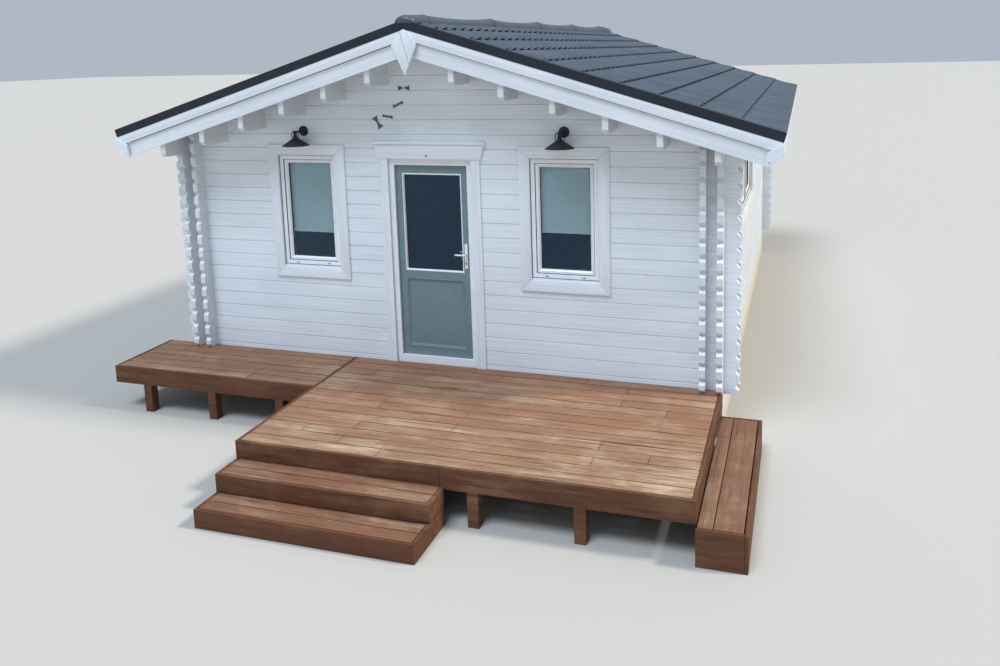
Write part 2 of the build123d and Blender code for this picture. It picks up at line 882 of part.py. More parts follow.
# Wall lamps: a round plate, a straight arm, a neck down from its end and a conical shade
with BuildPart() as wall_lamps:
    for x in (-lamp_x, lamp_x):
        lamp_z = deck_level + lamp_height
        with BuildSketch(end_wall_plane(front)):
            with Locations((x, lamp_z)):
                RegularPolygon(lamp_plate_radius, lamp_plate_sides)
        extrude(amount=lamp_plate_depth)
        with BuildSketch(end_wall_plane(front)):
            with Locations((x, lamp_z)):
                RegularPolygon(lamp_arm_radius, lamp_arm_sides)
        extrude(amount=lamp_shade_radius + lamp_plate_depth)
        shade_y = front - lamp_shade_radius - lamp_plate_depth
        shade_z = lamp_z - lamp_neck_drop
        with BuildSketch(Plane.XY.offset(shade_z)):
            with Locations((x, shade_y)):
                RegularPolygon(lamp_neck_radius, lamp_neck_sides)
        extrude(amount=lamp_neck_drop + lamp_arm_radius)
        for shell, mode in ((0, Mode.ADD), (lamp_shade_wall, Mode.SUBTRACT)):
            with BuildSketch(Plane.XY.offset(shade_z - lamp_shade_drop)):
                with Locations((x, shade_y)):
                    RegularPolygon(lamp_shade_radius - shell, lamp_plate_sides)
            extrude(amount=lamp_shade_drop - shell, taper=lamp_shade_taper, mode=mode)
save(wall_lamps.part, "wall_lamps")


def boards(x_from, x_to, y_from, y_to, top, name):
    """The boarding of a platform as one slab."""
    with BuildPart() as slab:
        with BuildSketch(Plane.XY.offset(top - deck_board)):
            with Locations(((x_from + x_to) / 2, (y_from + y_to) / 2)):
                Rectangle(x_to - x_from, y_to - y_from)
        extrude(amount=deck_board)
    save(slab.part, name)


# Platforms: the main deck, the walkway on its left and the side step on its right
plinth_face = front + plinth_inset
deck_front = front - deck_depth
walkway_front = front - walkway_depth
side_step_right = deck_right + side_step_width
side_step_back = front - side_step_start
side_step_front = side_step_back - side_step_length
side_step_top = deck_level - deck_board - joist_depth
boards(deck_left, deck_right, deck_front, front, deck_level, "deck_boards")
boards(walkway_left, deck_left, walkway_front, front, deck_level, "walkway_boards")
boards(
    deck_right, side_step_right, side_step_front, side_step_back, side_step_top, "side_step_boards"
)

# Edge boards round the platforms
with BuildPart() as deck_skirts:
    for x_from, x_to, y_from, y_to in (
        (deck_left, deck_right, deck_front, deck_front + deck_board),
        (deck_left, deck_left + deck_board, deck_front, plinth_face),
        (deck_right - deck_board, deck_right, deck_front, plinth_face),
        (walkway_left, deck_left, walkway_front, walkway_front + deck_board),
        (walkway_left, walkway_left + deck_board, walkway_front, plinth_face),
    ):
        with BuildSketch(Plane.XY.offset(plinth_height - joist_depth)):
            with Locations(((x_from + x_to) / 2, (y_from + y_to) / 2)):
                Rectangle(x_to - x_from, y_to - y_from)
        extrude(amount=joist_depth)
save(deck_skirts.part, "deck_skirts")

with BuildPart() as side_step_skirt:
    with BuildSketch():
        middle_x = (deck_right + side_step_right) / 2
        middle_step = (side_step_front + side_step_back) / 2
        with Locations((middle_x, middle_step)):
            Rectangle(side_step_width, side_step_length)
        with Locations((middle_x - deck_board / 2, middle_step)):
            Rectangle(
                side_step_width - deck_board, side_step_length - 2 * deck_board, mode=Mode.SUBTRACT
            )
    extrude(amount=side_step_top - deck_board)
save(side_step_skirt.part, "side_step_skirt")


def joist_rows(x_from, x_to):
    """Middles of the joists between two edge boards."""
    bays = round((x_to - x_from) / joist_spacing)
    return [x_from + (x_to - x_from) * k / bays for k in range(1, bays)]


# Joists between the edge boards and the plinth, and posts under every second joist
joist_runs = [(x, deck_front) for x in joist_rows(deck_left, deck_right)]
joist_runs += [(x, walkway_front) for x in joist_rows(walkway_left, deck_left)]
with BuildPart() as deck_joists:
    for x, y_front in joist_runs:
        with BuildSketch(Plane.XY.offset(plinth_height - joist_depth)):
            with Locations((x, (y_front + deck_board + plinth_face) / 2)):
                Rectangle(joist_width, plinth_face - y_front - deck_board)
        extrude(amount=joist_depth)
save(deck_joists.part, "deck_joists")

with BuildPart() as deck_posts:
    with BuildSketch():
        for x, y_front in joist_runs[::2]:
            with Locations((x, y_front + post_width / 2)):
                Rectangle(post_width, post_width)
    extrude(amount=plinth_height - joist_depth)
save(deck_posts.part, "deck_posts")

# Front steps: treads, risers and closed ends round a hollow
with BuildPart() as front_steps:
    for shell, mode in ((0, Mode.ADD), (deck_board, Mode.SUBTRACT)):
        half = step_half_width - shell
        with BuildSketch(Plane.YZ.offset(-half)):
            with BuildLine():
                Polyline(
                    (deck_front - 2 * step_going + shell, 0),
                    (deck_front - 2 * step_going + shell, step_rise - shell),
                    (deck_front - step_going + shell, step_rise - shell),
                    (deck_front - step_going + shell, 2 * step_rise - shell),
                    (deck_front - shell, 2 * step_rise - shell),
                    (deck_front - shell, 0),
                    close=True,
                )
            make_face()
        extrude(amount=2 * half, mode=mode)
save(front_steps.part, "front_steps")
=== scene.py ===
"""A white log chalet under a tile-effect steel roof, with its timber deck and steps.

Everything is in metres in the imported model's frame: X to the right along the front, Y towards the
back, Z up, with the ground at zero.
"""

import math
import random

import bmesh
import bpy
from mathutils import Matrix, Vector


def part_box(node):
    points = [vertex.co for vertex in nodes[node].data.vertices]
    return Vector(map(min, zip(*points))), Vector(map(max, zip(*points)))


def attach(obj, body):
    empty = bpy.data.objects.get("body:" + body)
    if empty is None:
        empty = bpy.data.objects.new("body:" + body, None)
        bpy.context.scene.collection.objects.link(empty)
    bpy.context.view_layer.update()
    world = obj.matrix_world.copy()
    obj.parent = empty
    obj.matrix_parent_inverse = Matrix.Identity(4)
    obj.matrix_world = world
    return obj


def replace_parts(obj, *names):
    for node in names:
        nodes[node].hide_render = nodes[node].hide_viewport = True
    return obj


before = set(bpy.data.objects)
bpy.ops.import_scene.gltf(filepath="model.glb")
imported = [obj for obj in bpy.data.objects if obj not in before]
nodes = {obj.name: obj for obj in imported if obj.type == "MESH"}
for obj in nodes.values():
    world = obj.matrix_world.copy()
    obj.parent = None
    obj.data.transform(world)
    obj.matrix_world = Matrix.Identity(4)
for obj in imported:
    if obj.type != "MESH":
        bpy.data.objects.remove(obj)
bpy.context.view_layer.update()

# Places of the walls and the deck, read from the frame
WALL_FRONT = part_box("front_wall_over_door")[0].y
WALL_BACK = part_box("back_wall")[1].y
WALL_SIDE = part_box("plinth_right")[1].x + 0.010
GROUND_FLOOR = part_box("deck_boards")[1].z
PLINTH_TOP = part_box("plinth_front")[1].z
LOG_HEIGHT = 0.145

# Windows: size of the small and the wide ones, their feet and middles, and the boards round them
WINDOW = (0.669, 1.168)
WIDE_WINDOW = (1.960, 0.904)
WINDOW_HEAD = 2.139
WINDOW_OFF_CENTRE = 1.378
WIDE_WINDOW_MIDDLE = 2.920
CASING = 0.110
CASING_BOARD = 0.018
CASING_RISE = 0.111
CASING_DROP = 0.128
FRAME_SETBACK = 0.010
FRAME_DEPTH = 0.075
PROFILE = 0.089
BLIND_SHARES = (0.735, 0.640, 0.657, 0.657, 0.640, 0.657, 0.640)

# Roof sheet: pressed waves across and steps down the slope, as on clay-tile pattern sheets
PITCH = math.radians(16.8)
TILE_WAVE = 0.220
TILE_ROW = 0.360
TILE_LAST_ROW = 0.399
WAVE_FOOT = 0.150
WAVE_LIFT = 0.022
ROLL_START, ROLL_END = 0.20, 0.90
WAVE_SHARES = (0.0, 0.10, ROLL_START, 0.27, 0.35, 0.45, 0.55, 0.65, 0.75, 0.83, ROLL_END)
STEP_LIFT = 0.026
STEP_LIFT_IN_PAN = 0.03
STEP_SCALLOP = 0.060
SHEET_START = 0.055
SHEET_GAUGE = 0.0022
SHEET_AND_FLASHING = 0.178
FLASHING_LIP = 0.075
RIDGE_CAP_COVER = 1.860

# Door, its handles, and the lamps beside it
FIELD_FOOT = 0.165
FIELD_HEIGHT = 0.722
HANDLE_PLATE = 0.0095
HANDLE_PLATE_CORNER = 0.015
LAMP_OFF_CENTRE = 1.392
LAMP_HEIGHT = GROUND_FLOOR + 2.392
LAMP_REACH = 0.158

# Ridge cap: steps round its arch, its end pieces and how much it rises towards the back
ARC_STEPS = 22
END_PIECE = 0.420
RIDGE_RISE = 0.025

# Barge covers, the shadow gap under each, the finials, and the screw across and up on each end plate
COVER_DROP = 0.020
GAP_HEIGHT = 0.006
GAP_LAP = 0.004
GAP_REACH = 0.955
FINIAL_SHOULDER = 0.145
FINIAL_TOP = (0.049, 0.027)
FINIAL_THICK = 0.0238
END_PLATE_SCREW = (3.262, 2.655)

# Deck boards, their screws and the edges they meet
BOARD_GAP = 0.006
BUTT_GAP = 0.003
BOARD_THICK = 0.028
BOARD_ROUND = 0.003
UNEVEN = 0.0015
EDGE_BOARD = 0.027
EDGE_GAP = 0.004
WALL_GAP = 0.002
JOIST_SPACING = 0.42
SCREW_SHARES = (0.2, 0.8)
# How dark the boards' sides in the gaps are drawn: damp and painted shade
DAMP_AND_SHADE_SIDES = 0.85
FRONT_EDGE_JOINT = 0.9
SIDE_STEP_BOARDS = ((0.010, 0.118), (0.124, 0.329))


def linear(colour):
    """An sRGB hex colour as linear red, green, blue and full alpha."""
    parts = [int(colour[i:i + 2], 16) / 255 for i in (0, 2, 4)]
    return [p / 12.92 if p <= 0.04045 else ((p + 0.055) / 1.055) ** 2.4 for p in parts] + [1.0]


def add(tree, kind, inputs=(), give=0, **settings):
    """Adds one node with its settings, values and links, and gives back one of its outputs."""
    node = tree.nodes.new(kind)
    for name, value in settings.items():
        setattr(node, name, value)
    for name, value in dict(inputs).items():
        if isinstance(value, bpy.types.NodeSocket):
            tree.links.new(value, node.inputs[name])
        else:
            node.inputs[name].default_value = value
    return node.outputs[give]


def start_finish(name, roughness, **sockets):
    """A new material with a surface shader, and its tree."""
    finish = bpy.data.materials.new(name)
    finish.use_nodes = True
    shader = finish.node_tree.nodes["Principled BSDF"]
    shader.inputs["Roughness"].default_value = roughness
    for socket, value in sockets.items():
        shader.inputs[socket.replace("_", " ")].default_value = value
    return finish, finish.node_tree, shader


def end_finish(tree, shader, tone, height, depth_mm):
    """Gives a surface its colour, and a fine relief of a real depth."""
    tree.links.new(tone, shader.inputs["Base Color"])
    raised = add(tree, "ShaderNodeBump", {"Height": height, "Distance": depth_mm / 1000, "Strength": 1.0})
    tree.links.new(raised, shader.inputs["Normal"])


def in_steps_of(tree, sizes_mm, lean=0.0):
    """Places in the chalet's frame, counted in real sizes in mm, leant with a sloping board."""
    place = add(tree, "ShaderNodeTexCoord", give="Object")
    steps = {"Vector": place, "Rotation": (0.0, lean, 0.0), "Scale": [size / 1000 for size in sizes_mm]}
    return add(tree, "ShaderNodeMapping", steps, vector_type="TEXTURE")


def along_axis(tree, axis, step_mm=1000):
    """Distance along one axis of the chalet's frame, in metres or in steps of a real size."""
    return add(tree, "ShaderNodeSeparateXYZ", {0: in_steps_of(tree, (step_mm,) * 3)}, axis)


def mottle(tree, sizes_mm, detail, light, dark):
    """Cloudy patches of a real size, and the tone between two colours that they give."""
    patches = add(tree, "ShaderNodeTexNoise", {
        "Vector": in_steps_of(tree, sizes_mm), "Scale": 1.0, "Detail": detail,
    })
    share = add(tree, "ShaderNodeMapRange", {"Value": patches, "From Min": 0.3, "From Max": 0.7})
    tone = add(tree, "ShaderNodeMix", {0: share, 6: linear(light), 7: linear(dark)}, 2, data_type="RGBA")
    return patches, tone


def painted_spruce(name, light, dark, first_joint=None, along=(400, 400, 7), lean=0.0):
    """Planed spruce under brushed white microporous paint.

    The eye sees a satin white with a faint raised grain along the wood and a knot here and
    there, each log a little warmer or cooler than the next, and grey dust on the chamfers that
    face up; those that face down are drawn whiter, a painted highlight against the shade in the
    joints.
    """
    finish, tree, shader = start_finish(name, 0.48, IOR=1.47, Coat_Weight=0.06, Coat_Roughness=0.3)
    grain = add(tree, "ShaderNodeTexNoise", {
        "Vector": in_steps_of(tree, along, lean), "Scale": 1.0, "Detail": 5.0, "Roughness": 0.6,
    })
    brush = add(tree, "ShaderNodeTexNoise", {
        "Vector": in_steps_of(tree, [size * 3 for size in along], lean), "Scale": 1.0, "Detail": 3.0,
    })
    knot = add(tree, "ShaderNodeTexVoronoi", {
        "Vector": in_steps_of(tree, (520, 520, 150)), "Scale": 1.0, "Randomness": 1.0,
    })
    _, tone = mottle(tree, (900, 900, 500), 4.0, light, dark)
    knots = add(
        tree, "ShaderNodeMapRange", {"Value": knot, "From Min": 0.075, "From Max": 0.03, "To Max": 0.16}
    )
    covers = [(knots, "C9BFA6")]
    if first_joint is not None:
        height = along_axis(tree, "Z")
        above = add(tree, "ShaderNodeMath", {0: height, 1: first_joint}, operation="SUBTRACT")
        count = add(tree, "ShaderNodeMath", {0: above, 1: LOG_HEIGHT}, operation="DIVIDE")
        log = add(tree, "ShaderNodeMath", {0: count}, operation="FLOOR")
        own = add(tree, "ShaderNodeTexWhiteNoise", {"W": log}, noise_dimensions="1D")
        shade = add(tree, "ShaderNodeMath", {0: own, 1: 0.22}, operation="MULTIPLY")
        to_joint = add(tree, "ShaderNodeMath", {0: count, 1: 0.5}, operation="PINGPONG")
        chamfer = add(
            tree, "ShaderNodeMapRange", {"Value": to_joint, "From Min": 0.060, "From Max": 0.030}
        )
        upward = add(
            tree, "ShaderNodeSeparateXYZ", {0: add(tree, "ShaderNodeNewGeometry", give="Normal")}, "Z"
        )
        covers.append((shade, dark))
        # Grey dust on the chamfers that face up; the whiter tone on those that face down is a painted
        # highlight against the joints' shade
        for low, high, colour in ((0.1, 1.6, "8F99A6"), (-0.1, -0.7, "FDFEFF")):
            facing = add(tree, "ShaderNodeMapRange", {"Value": upward, "From Min": low, "From Max": high})
            cover = add(tree, "ShaderNodeMath", {0: chamfer, 1: facing}, operation="MULTIPLY")
            covers.append((cover, colour))
    for value, low, high, most, colour in (
        (brush, 0.45, 0.66, 0.22, "B9C2CC"), (grain, 0.35, 0.62, 0.13, "B4BAC0"),
    ):
        cover = add(
            tree, "ShaderNodeMapRange",
            {"Value": value, "From Min": low, "From Max": high, "To Max": most},
        )
        covers.append((cover, colour))
    for cover, colour in covers:
        tone = add(tree, "ShaderNodeMix", {0: cover, 6: tone, 7: linear(colour)}, 2, data_type="RGBA")
    end_finish(tree, shader, tone, grain, 0.5)
    return finish


def weathered_boards(name, length_axis, tints):
    """Oiled softwood deck boards, sawn and walked on.

    Red-brown oil is left in the hollows of the grain and by the wall, grey shows where feet and
    rain wore it, and every board has its own shade. The sides in the gaps between boards are
    darkened as damp and as painted shade.
    """
    finish, tree, shader = start_finish(name, 0.62, IOR=1.45)
    fibre, stripe = (
        [length if axis == length_axis else width for axis in range(3)]
        for width, length in ((5, 260), (42, 620))
    )
    streak = add(tree, "ShaderNodeTexNoise", {
        "Vector": in_steps_of(tree, fibre), "Scale": 1.0, "Detail": 6.0, "Roughness": 0.65,
        "Distortion": 0.3,
    })
    band = add(tree, "ShaderNodeTexNoise", {
        "Vector": in_steps_of(tree, stripe), "Scale": 1.0, "Detail": 7.0, "Roughness": 0.7,
        "Distortion": 0.5,
    })
    patch = add(tree, "ShaderNodeTexNoise", {
        "Vector": in_steps_of(tree, (620, 420, 420)), "Scale": 1.0, "Detail": 7.0, "Roughness": 0.65,
    })
    own = add(tree, "ShaderNodeAttribute", give="Fac", attribute_name="board_shade")
    damp_and_shade = add(tree, "ShaderNodeAttribute", give="Fac", attribute_name="damp_and_shade")
    grain = add(tree, "ShaderNodeMix", {0: 0.6, 2: streak, 3: band})
    parts = [
        add(
            tree, "ShaderNodeMapRange",
            {"Value": value, "From Min": low, "From Max": high, "To Max": most},
        )
        for value, low, high, most in (
            (grain, 0.38, 0.62, 1.0), (patch, 0.46, 0.62, 0.8), (band, 0.62, 0.40, 1.0),
            (along_axis(tree, "Y"), -1.5, -0.3, 0.45), (band, 0.60, 0.74, 0.7),
            (streak, 0.42, 0.30, 0.6), (patch, -1.6, 1.2, 1.0),
        )
    ]
    bleached, trodden, open_grain, sheltered, stain, crack, roughness = parts
    worn = add(tree, "ShaderNodeMath", {0: trodden, 1: open_grain}, operation="MULTIPLY")
    shade = add(tree, "ShaderNodeMath", {0: own, 1: 0.5}, operation="MULTIPLY")
    # Dark cracks, and the boards' sides drawn near black as damp and painted shade between the boards
    cracks_damp_and_shade = add(tree, "ShaderNodeMath", {0: crack, 1: damp_and_shade}, operation="MAXIMUM")
    tone = linear(tints[0])
    for cover, tint in (
        (bleached, tints[1]), (worn, tints[2]), (shade, tints[3]), (sheltered, tints[3]),
        (stain, tints[4]), (cracks_damp_and_shade, tints[4]),
    ):
        tone = add(tree, "ShaderNodeMix", {0: cover, 6: tone, 7: linear(tint)}, 2, data_type="RGBA")
    tree.links.new(roughness, shader.inputs["Roughness"])
    end_finish(tree, shader, tone, streak, 1.6)
    return finish


def coated_steel(name, light, dark, roughness, coat=0.15):
    """Hot-dip galvanised sheet with a matt polyester coat, roll-formed.

    It has a fine orange-peel texture, soft wide highlights, pale dust lying in the hollows and
    a near-black painted shade under each step's lip.
    """
    finish, tree, shader = start_finish(name, roughness, IOR=1.5, Coat_Weight=coat, Coat_Roughness=0.35)
    dust = add(tree, "ShaderNodeTexNoise", {
        "Vector": in_steps_of(tree, (420, 420, 420)), "Scale": 1.0, "Detail": 6.0, "Roughness": 0.6,
    })
    peel = add(tree, "ShaderNodeTexNoise", {
        "Vector": in_steps_of(tree, (4, 4, 4)), "Scale": 1.0, "Detail": 2.0,
    })
    dusty = add(tree, "ShaderNodeMapRange", {"Value": dust, "From Min": 0.3, "From Max": 0.75})
    # Painted shade: the faces under each step's lip are drawn near black
    lip_shade = add(tree, "ShaderNodeAttribute", give="Fac", attribute_name="painted_lip_shade")
    tone = linear(dark)
    for cover, colour in ((dusty, light), (lip_shade, "090F17")):
        tone = add(tree, "ShaderNodeMix", {0: cover, 6: tone, 7: linear(colour)}, 2, data_type="RGBA")
    end_finish(tree, shader, tone, peel, 0.15)
    return finish


def extruded_vinyl(name, light, dark, roughness=0.32):
    """Extruded rigid vinyl: smooth and evenly coloured, with a soft gloss and a slight waviness."""
    finish, tree, shader = start_finish(name, roughness, IOR=1.53)
    wave, tone = mottle(tree, (120, 120, 120), 3.0, light, dark)
    end_finish(tree, shader, tone, wave, 0.25)
    return finish


def clear_pane(name):
    """Float glass in a sealed pair, clear, with rain marks too faint to blur it.

    Its low-emission coat throws back the blue end of the light.
    """
    finish, tree, shader = start_finish(
        name, 0.02, IOR=1.5, Transmission_Weight=1.0, Specular_Tint=linear("A2CBFF")
    )
    marks = add(tree, "ShaderNodeTexNoise", {
        "Vector": in_steps_of(tree, (60, 60, 160)), "Scale": 1.0, "Detail": 3.0,
    })
    tone = add(
        tree, "ShaderNodeMix", {0: marks, 6: linear("F0F7F9"), 7: linear("E7F0F3")}, 2, data_type="RGBA"
    )
    tree.links.new(tone, shader.inputs["Base Color"])
    return finish


def woven_blind(name, light, dark):
    """Plain-woven polyester blind cloth. The threads are drawn 3 mm apart, coarser than real, to show."""
    finish, tree, shader = start_finish(name, 0.85, IOR=1.45, Sheen_Weight=0.2)
    warp, weft = (
        add(
            tree, "ShaderNodeTexWave",
            {"Vector": in_steps_of(tree, (3, 3, 3)), "Scale": 0.5, "Distortion": 0.4},
            "Fac", bands_direction=direction,
        )
        for direction in ("Z", "DIAGONAL")
    )
    weave = add(tree, "ShaderNodeMath", {0: warp, 1: weft}, operation="MULTIPLY")
    tone = add(tree, "ShaderNodeMix", {0: weave, 6: linear(light), 7: linear(dark)}, 2, data_type="RGBA")
    end_finish(tree, shader, tone, weave, 0.3)
    return finish


def brushed_masonry(name):
    """Rendered blockwork under white masonry paint: sandy to the touch, splashed grey near the ground."""
    finish, tree, shader = start_finish(name, 0.82, IOR=1.45)
    sand = add(tree, "ShaderNodeTexNoise", {
        "Vector": in_steps_of(tree, (6, 6, 6)), "Scale": 1.0, "Detail": 5.0,
    })
    near_ground = add(
        tree, "ShaderNodeMapRange", {"Value": along_axis(tree, "Z"), "From Min": 0.30, "From Max": 0.0}
    )
    splash = add(tree, "ShaderNodeMath", {0: near_ground, 1: sand}, operation="MULTIPLY")
    tone = linear("E4E1D8")
    for cover, colour in ((sand, "D7D3C8"), (splash, "BDAB88")):
        tone = add(tree, "ShaderNodeMix", {0: cover, 6: tone, 7: linear(colour)}, 2, data_type="RGBA")
    end_finish(tree, shader, tone, sand, 1.5)
    return finish


def tongued_boards(name, light, dark, width_axis, width_mm, roughness=0.55):
    """Planed tongue-and-groove spruce, seen as board-wide stripes with thin dark joints."""
    finish, tree, shader = start_finish(name, roughness, IOR=1.47)
    grain = add(tree, "ShaderNodeTexNoise", {
        "Vector": in_steps_of(tree, [6 if axis == width_axis else 350 for axis in range(3)]),
        "Scale": 1.0, "Detail": 5.0,
    })
    boards = along_axis(tree, width_axis, width_mm)
    to_joint = add(tree, "ShaderNodeMath", {0: boards, 1: 0.5}, operation="PINGPONG")
    joint = add(tree, "ShaderNodeMapRange", {"Value": to_joint, "From Min": 0.035, "From Max": 0.01})
    tone = linear(light)
    for cover, colour in ((grain, dark), (joint, "55493C")):
        tone = add(tree, "ShaderNodeMix", {0: cover, 6: tone, 7: linear(colour)}, 2, data_type="RGBA")
    height = add(tree, "ShaderNodeMath", {0: grain, 1: joint}, operation="SUBTRACT")
    end_finish(tree, shader, tone, height, 1.0)
    return finish


def plain_finish(name, light, dark, roughness, spot_mm, metallic=0.0, relief_mm=0.1):
    """A cast, sprayed or spun surface with a mottled tone and a fine texture of a real size."""
    finish, tree, shader = start_finish(name, roughness, Metallic=metallic)
    spot, tone = mottle(tree, (spot_mm,) * 3, 4.0, light, dark)
    end_finish(tree, shader, tone, spot, relief_mm)
    return finish


# The end walls' copy of the white paint is drawn bluer than the side walls': a painted tint of the front
# wall's shade
shade_tinted_end_log_paint = painted_spruce("painted_spruce_end_walls_shade_tinted", "EEF6FC", "E0E9F1", PLINTH_TOP + LOG_HEIGHT / 2)
side_log_paint = painted_spruce("painted_spruce_side_walls", "E9EDF1", "DADFE5", PLINTH_TOP)
TRIM_TINTS = ("EDF3F9", "E1E8F0")
trim_paint = painted_spruce("painted_spruce_trim", *TRIM_TINTS, along=(300, 300, 9))
upright_paint = painted_spruce("painted_spruce_uprights", *TRIM_TINTS, along=(9, 9, 300))
barge_paint = {
    word: painted_spruce(f"painted_spruce_barge_{word}", *TRIM_TINTS, along=(300, 300, 9), lean=lean)
    for word, lean in (("left", -PITCH), ("right", PITCH))
}
purlin_paint = painted_spruce("painted_spruce_purlins", "E6E9EC", "D8DCE0", along=(9, 500, 9))
masonry = brushed_masonry("painted_masonry")
vinyl = extruded_vinyl("white_rigid_vinyl", "EEF2F6", "E4E9EE")
door_vinyl = extruded_vinyl("grey_green_rigid_vinyl", "728A91", "6A8289", 0.38)
glass = clear_pane("float_glass")
blind_cloth = woven_blind("woven_polyester_blind", "DCF2F5", "CDE6EB")
tile_steel = coated_steel("coated_steel_roof_sheet", "4A5765", "384450", 0.46)
# The ridge cap is the roof sheet's steel drawn darker: painted shade
shaded_ridge_steel = coated_steel("coated_steel_ridge_cap_shaded", "46525F", "343E49", 0.45)
flashing_steel = coated_steel("coated_steel_flashing", "13212E", "0C1722", 0.55, 0.0)
DECK_TINTS = ("A58569", "7A5940", "C4AF94", "83563C", "2E2019")
# The step boards are the deck's oiled boards drawn darker: painted shade
SHADED_STEP_TINTS = ("8D6D55", "674733", "AA947D", "704730", "271A13")
# The boards that stand on edge, and the posts, are the deck's oiled boards drawn darker: painted shade
SHADED_EDGE_TINTS = ("6C4428", "482A19", "7F6047", "5B321C", "1E130E")
boards_along_x = weathered_boards("oiled_softwood_boards_along_x", 0, DECK_TINTS)
boards_along_y = weathered_boards("oiled_softwood_boards_along_y", 1, DECK_TINTS)
shaded_step_boards_along_x = weathered_boards("oiled_step_boards_shaded_along_x", 0, SHADED_STEP_TINTS)
shaded_step_boards_along_y = weathered_boards("oiled_step_boards_shaded_along_y", 1, SHADED_STEP_TINTS)
shaded_edge_boards_along_x = weathered_boards("oiled_edge_boards_shaded_along_x", 0, SHADED_EDGE_TINTS)
shaded_edge_boards_along_y = weathered_boards("oiled_edge_boards_shaded_along_y", 1, SHADED_EDGE_TINTS)
ceiling_boards = tongued_boards("painted_spruce_ceiling", "E2E3E1", "D6D7D4", 1, 96)
floor_boards = tongued_boards("dark_stained_floor", "5F5751", "4B4540", 0, 110, 0.45)
# Pale softwood with a rough matt face, as the saw leaves it
raw_batten = plain_finish("sawn_softwood_batten", "C2A27A", "A98860", 0.75, 18, relief_mm=0.6)
# Spun fibre in a mat: soft, yellowish and wholly matt
mineral_wool = plain_finish("mineral_wool", "B7A35E", "9A874A", 0.95, 12, relief_mm=2.0)
# Powder sprayed and baked on steel: an even satin black with a very fine orange peel
powder_black = plain_finish("black_powder_coat", "161C26", "0F141C", 0.5, 2)
# Fired enamel: smooth and glossy, with a faint unevenness of tone
lamp_inside = plain_finish("white_enamel", "E7E6E0", "D9D8D2", 0.3, 20)
# Paint sprayed on cast aluminium: a smooth, soft gloss
handle_white = plain_finish("white_coated_aluminium", "F0F2F3", "E6E8EA", 0.28, 30, relief_mm=0.05)
# Extruded rubber: matt and nearly black
gasket_rubber = plain_finish("extruded_black_rubber", "1A1C1E", "101214", 0.7, 8)
# Cold-formed stainless steel gone dull: a grey metal with blurred highlights
screw_steel = plain_finish("dull_stainless_steel", "6A6660", "4E4A45", 0.45, 1, metallic=1.0)
# Paint brushed on cut tin sheet: dark green with a satin face
bow_paint = plain_finish("dark_green_painted_tin", "4E6D69", "395552", 0.5, 15)


def dress(finish, *names):
    """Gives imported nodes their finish."""
    for name in names:
        slots = nodes[name].data.materials
        slots.clear()
        slots.append(finish)


dress(shade_tinted_end_log_paint, "front_wall_left", "front_wall_right", "front_wall_over_door", "back_wall")
dress(side_log_paint, "left_wall", "right_wall")
dress(purlin_paint, "purlins", "ridge_purlin")
dress(masonry, "plinth_front", "plinth_back", "plinth_left", "plinth_right")
dress(floor_boards, "floor")
dress(ceiling_boards, "roof_boards_left", "roof_boards_right")
dress(mineral_wool, "roof_insulation_left", "roof_insulation_right")
dress(raw_batten, "roof_battens")
dress(flashing_steel, "verge_flashings_left", "verge_flashings_right")
dress(trim_paint, "eave_boards", "barge_end_plates")
dress(upright_paint, "door_casing")
dress(barge_paint["left"], "barge_boards_left")
dress(barge_paint["right"], "barge_boards_right")
dress(vinyl, "door_frame")
dress(door_vinyl, "door_leaf")
dress(glass, "door_glass", "window_glass")
dress(handle_white, "hinge_knuckles_frame", "hinge_knuckles_leaf")
dress(boards_along_y, "deck_joists")
dress(shaded_edge_boards_along_x, "deck_posts")

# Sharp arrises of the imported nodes, rounded by a real width
for name, width in (
    ("barge_boards_left", 0.002), ("barge_boards_right", 0.002), ("eave_boards", 0.002),
    ("barge_end_plates", 0.003), ("door_casing", 0.003), ("door_frame", 0.002), ("door_leaf", 0.0015),
    ("deck_posts", 0.004), ("hinge_knuckles_frame", 0.001), ("hinge_knuckles_leaf", 0.001),
):
    arris = nodes[name].modifiers.new("arris", "BEVEL")
    arris.width = width
    arris.segments = 2
    arris.limit_method = "ANGLE"
    arris.angle_limit = math.radians(35)


def make_piece(name, body, slot, shape, *finishes, sharp=32.0, solid=True):
    """Turns a worked mesh into a named piece of the chalet that rides on its body."""
    bmesh.ops.remove_doubles(shape, verts=shape.verts, dist=1e-6)
    if solid:
        bmesh.ops.recalc_face_normals(shape, faces=shape.faces)
    mesh = bpy.data.meshes.new(name)
    shape.to_mesh(mesh)
    shape.free()
    for finish in finishes:
        mesh.materials.append(finish)
    mesh.polygons.foreach_set("use_smooth", [True] * len(mesh.polygons))
    mesh.set_sharp_from_angle(angle=math.radians(sharp))
    piece = bpy.data.objects.new(name, mesh)
    bpy.context.scene.collection.objects.link(piece)
    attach(piece, body)
    return piece


def add_block(shape, low, high, finish=0):
    """A rectangular block between two corners."""
    corners = [
        shape.verts.new((x, y, z))
        for x in (low[0], high[0]) for y in (low[1], high[1]) for z in (low[2], high[2])
    ]
    sides = []
    for loop in ((0, 1, 3, 2), (4, 6, 7, 5), (0, 4, 5, 1), (2, 3, 7, 6), (0, 2, 6, 4), (1, 5, 7, 3)):
        side = shape.faces.new([corners[i] for i in loop])
        side.material_index = finish
        sides.append(side)
    return sides


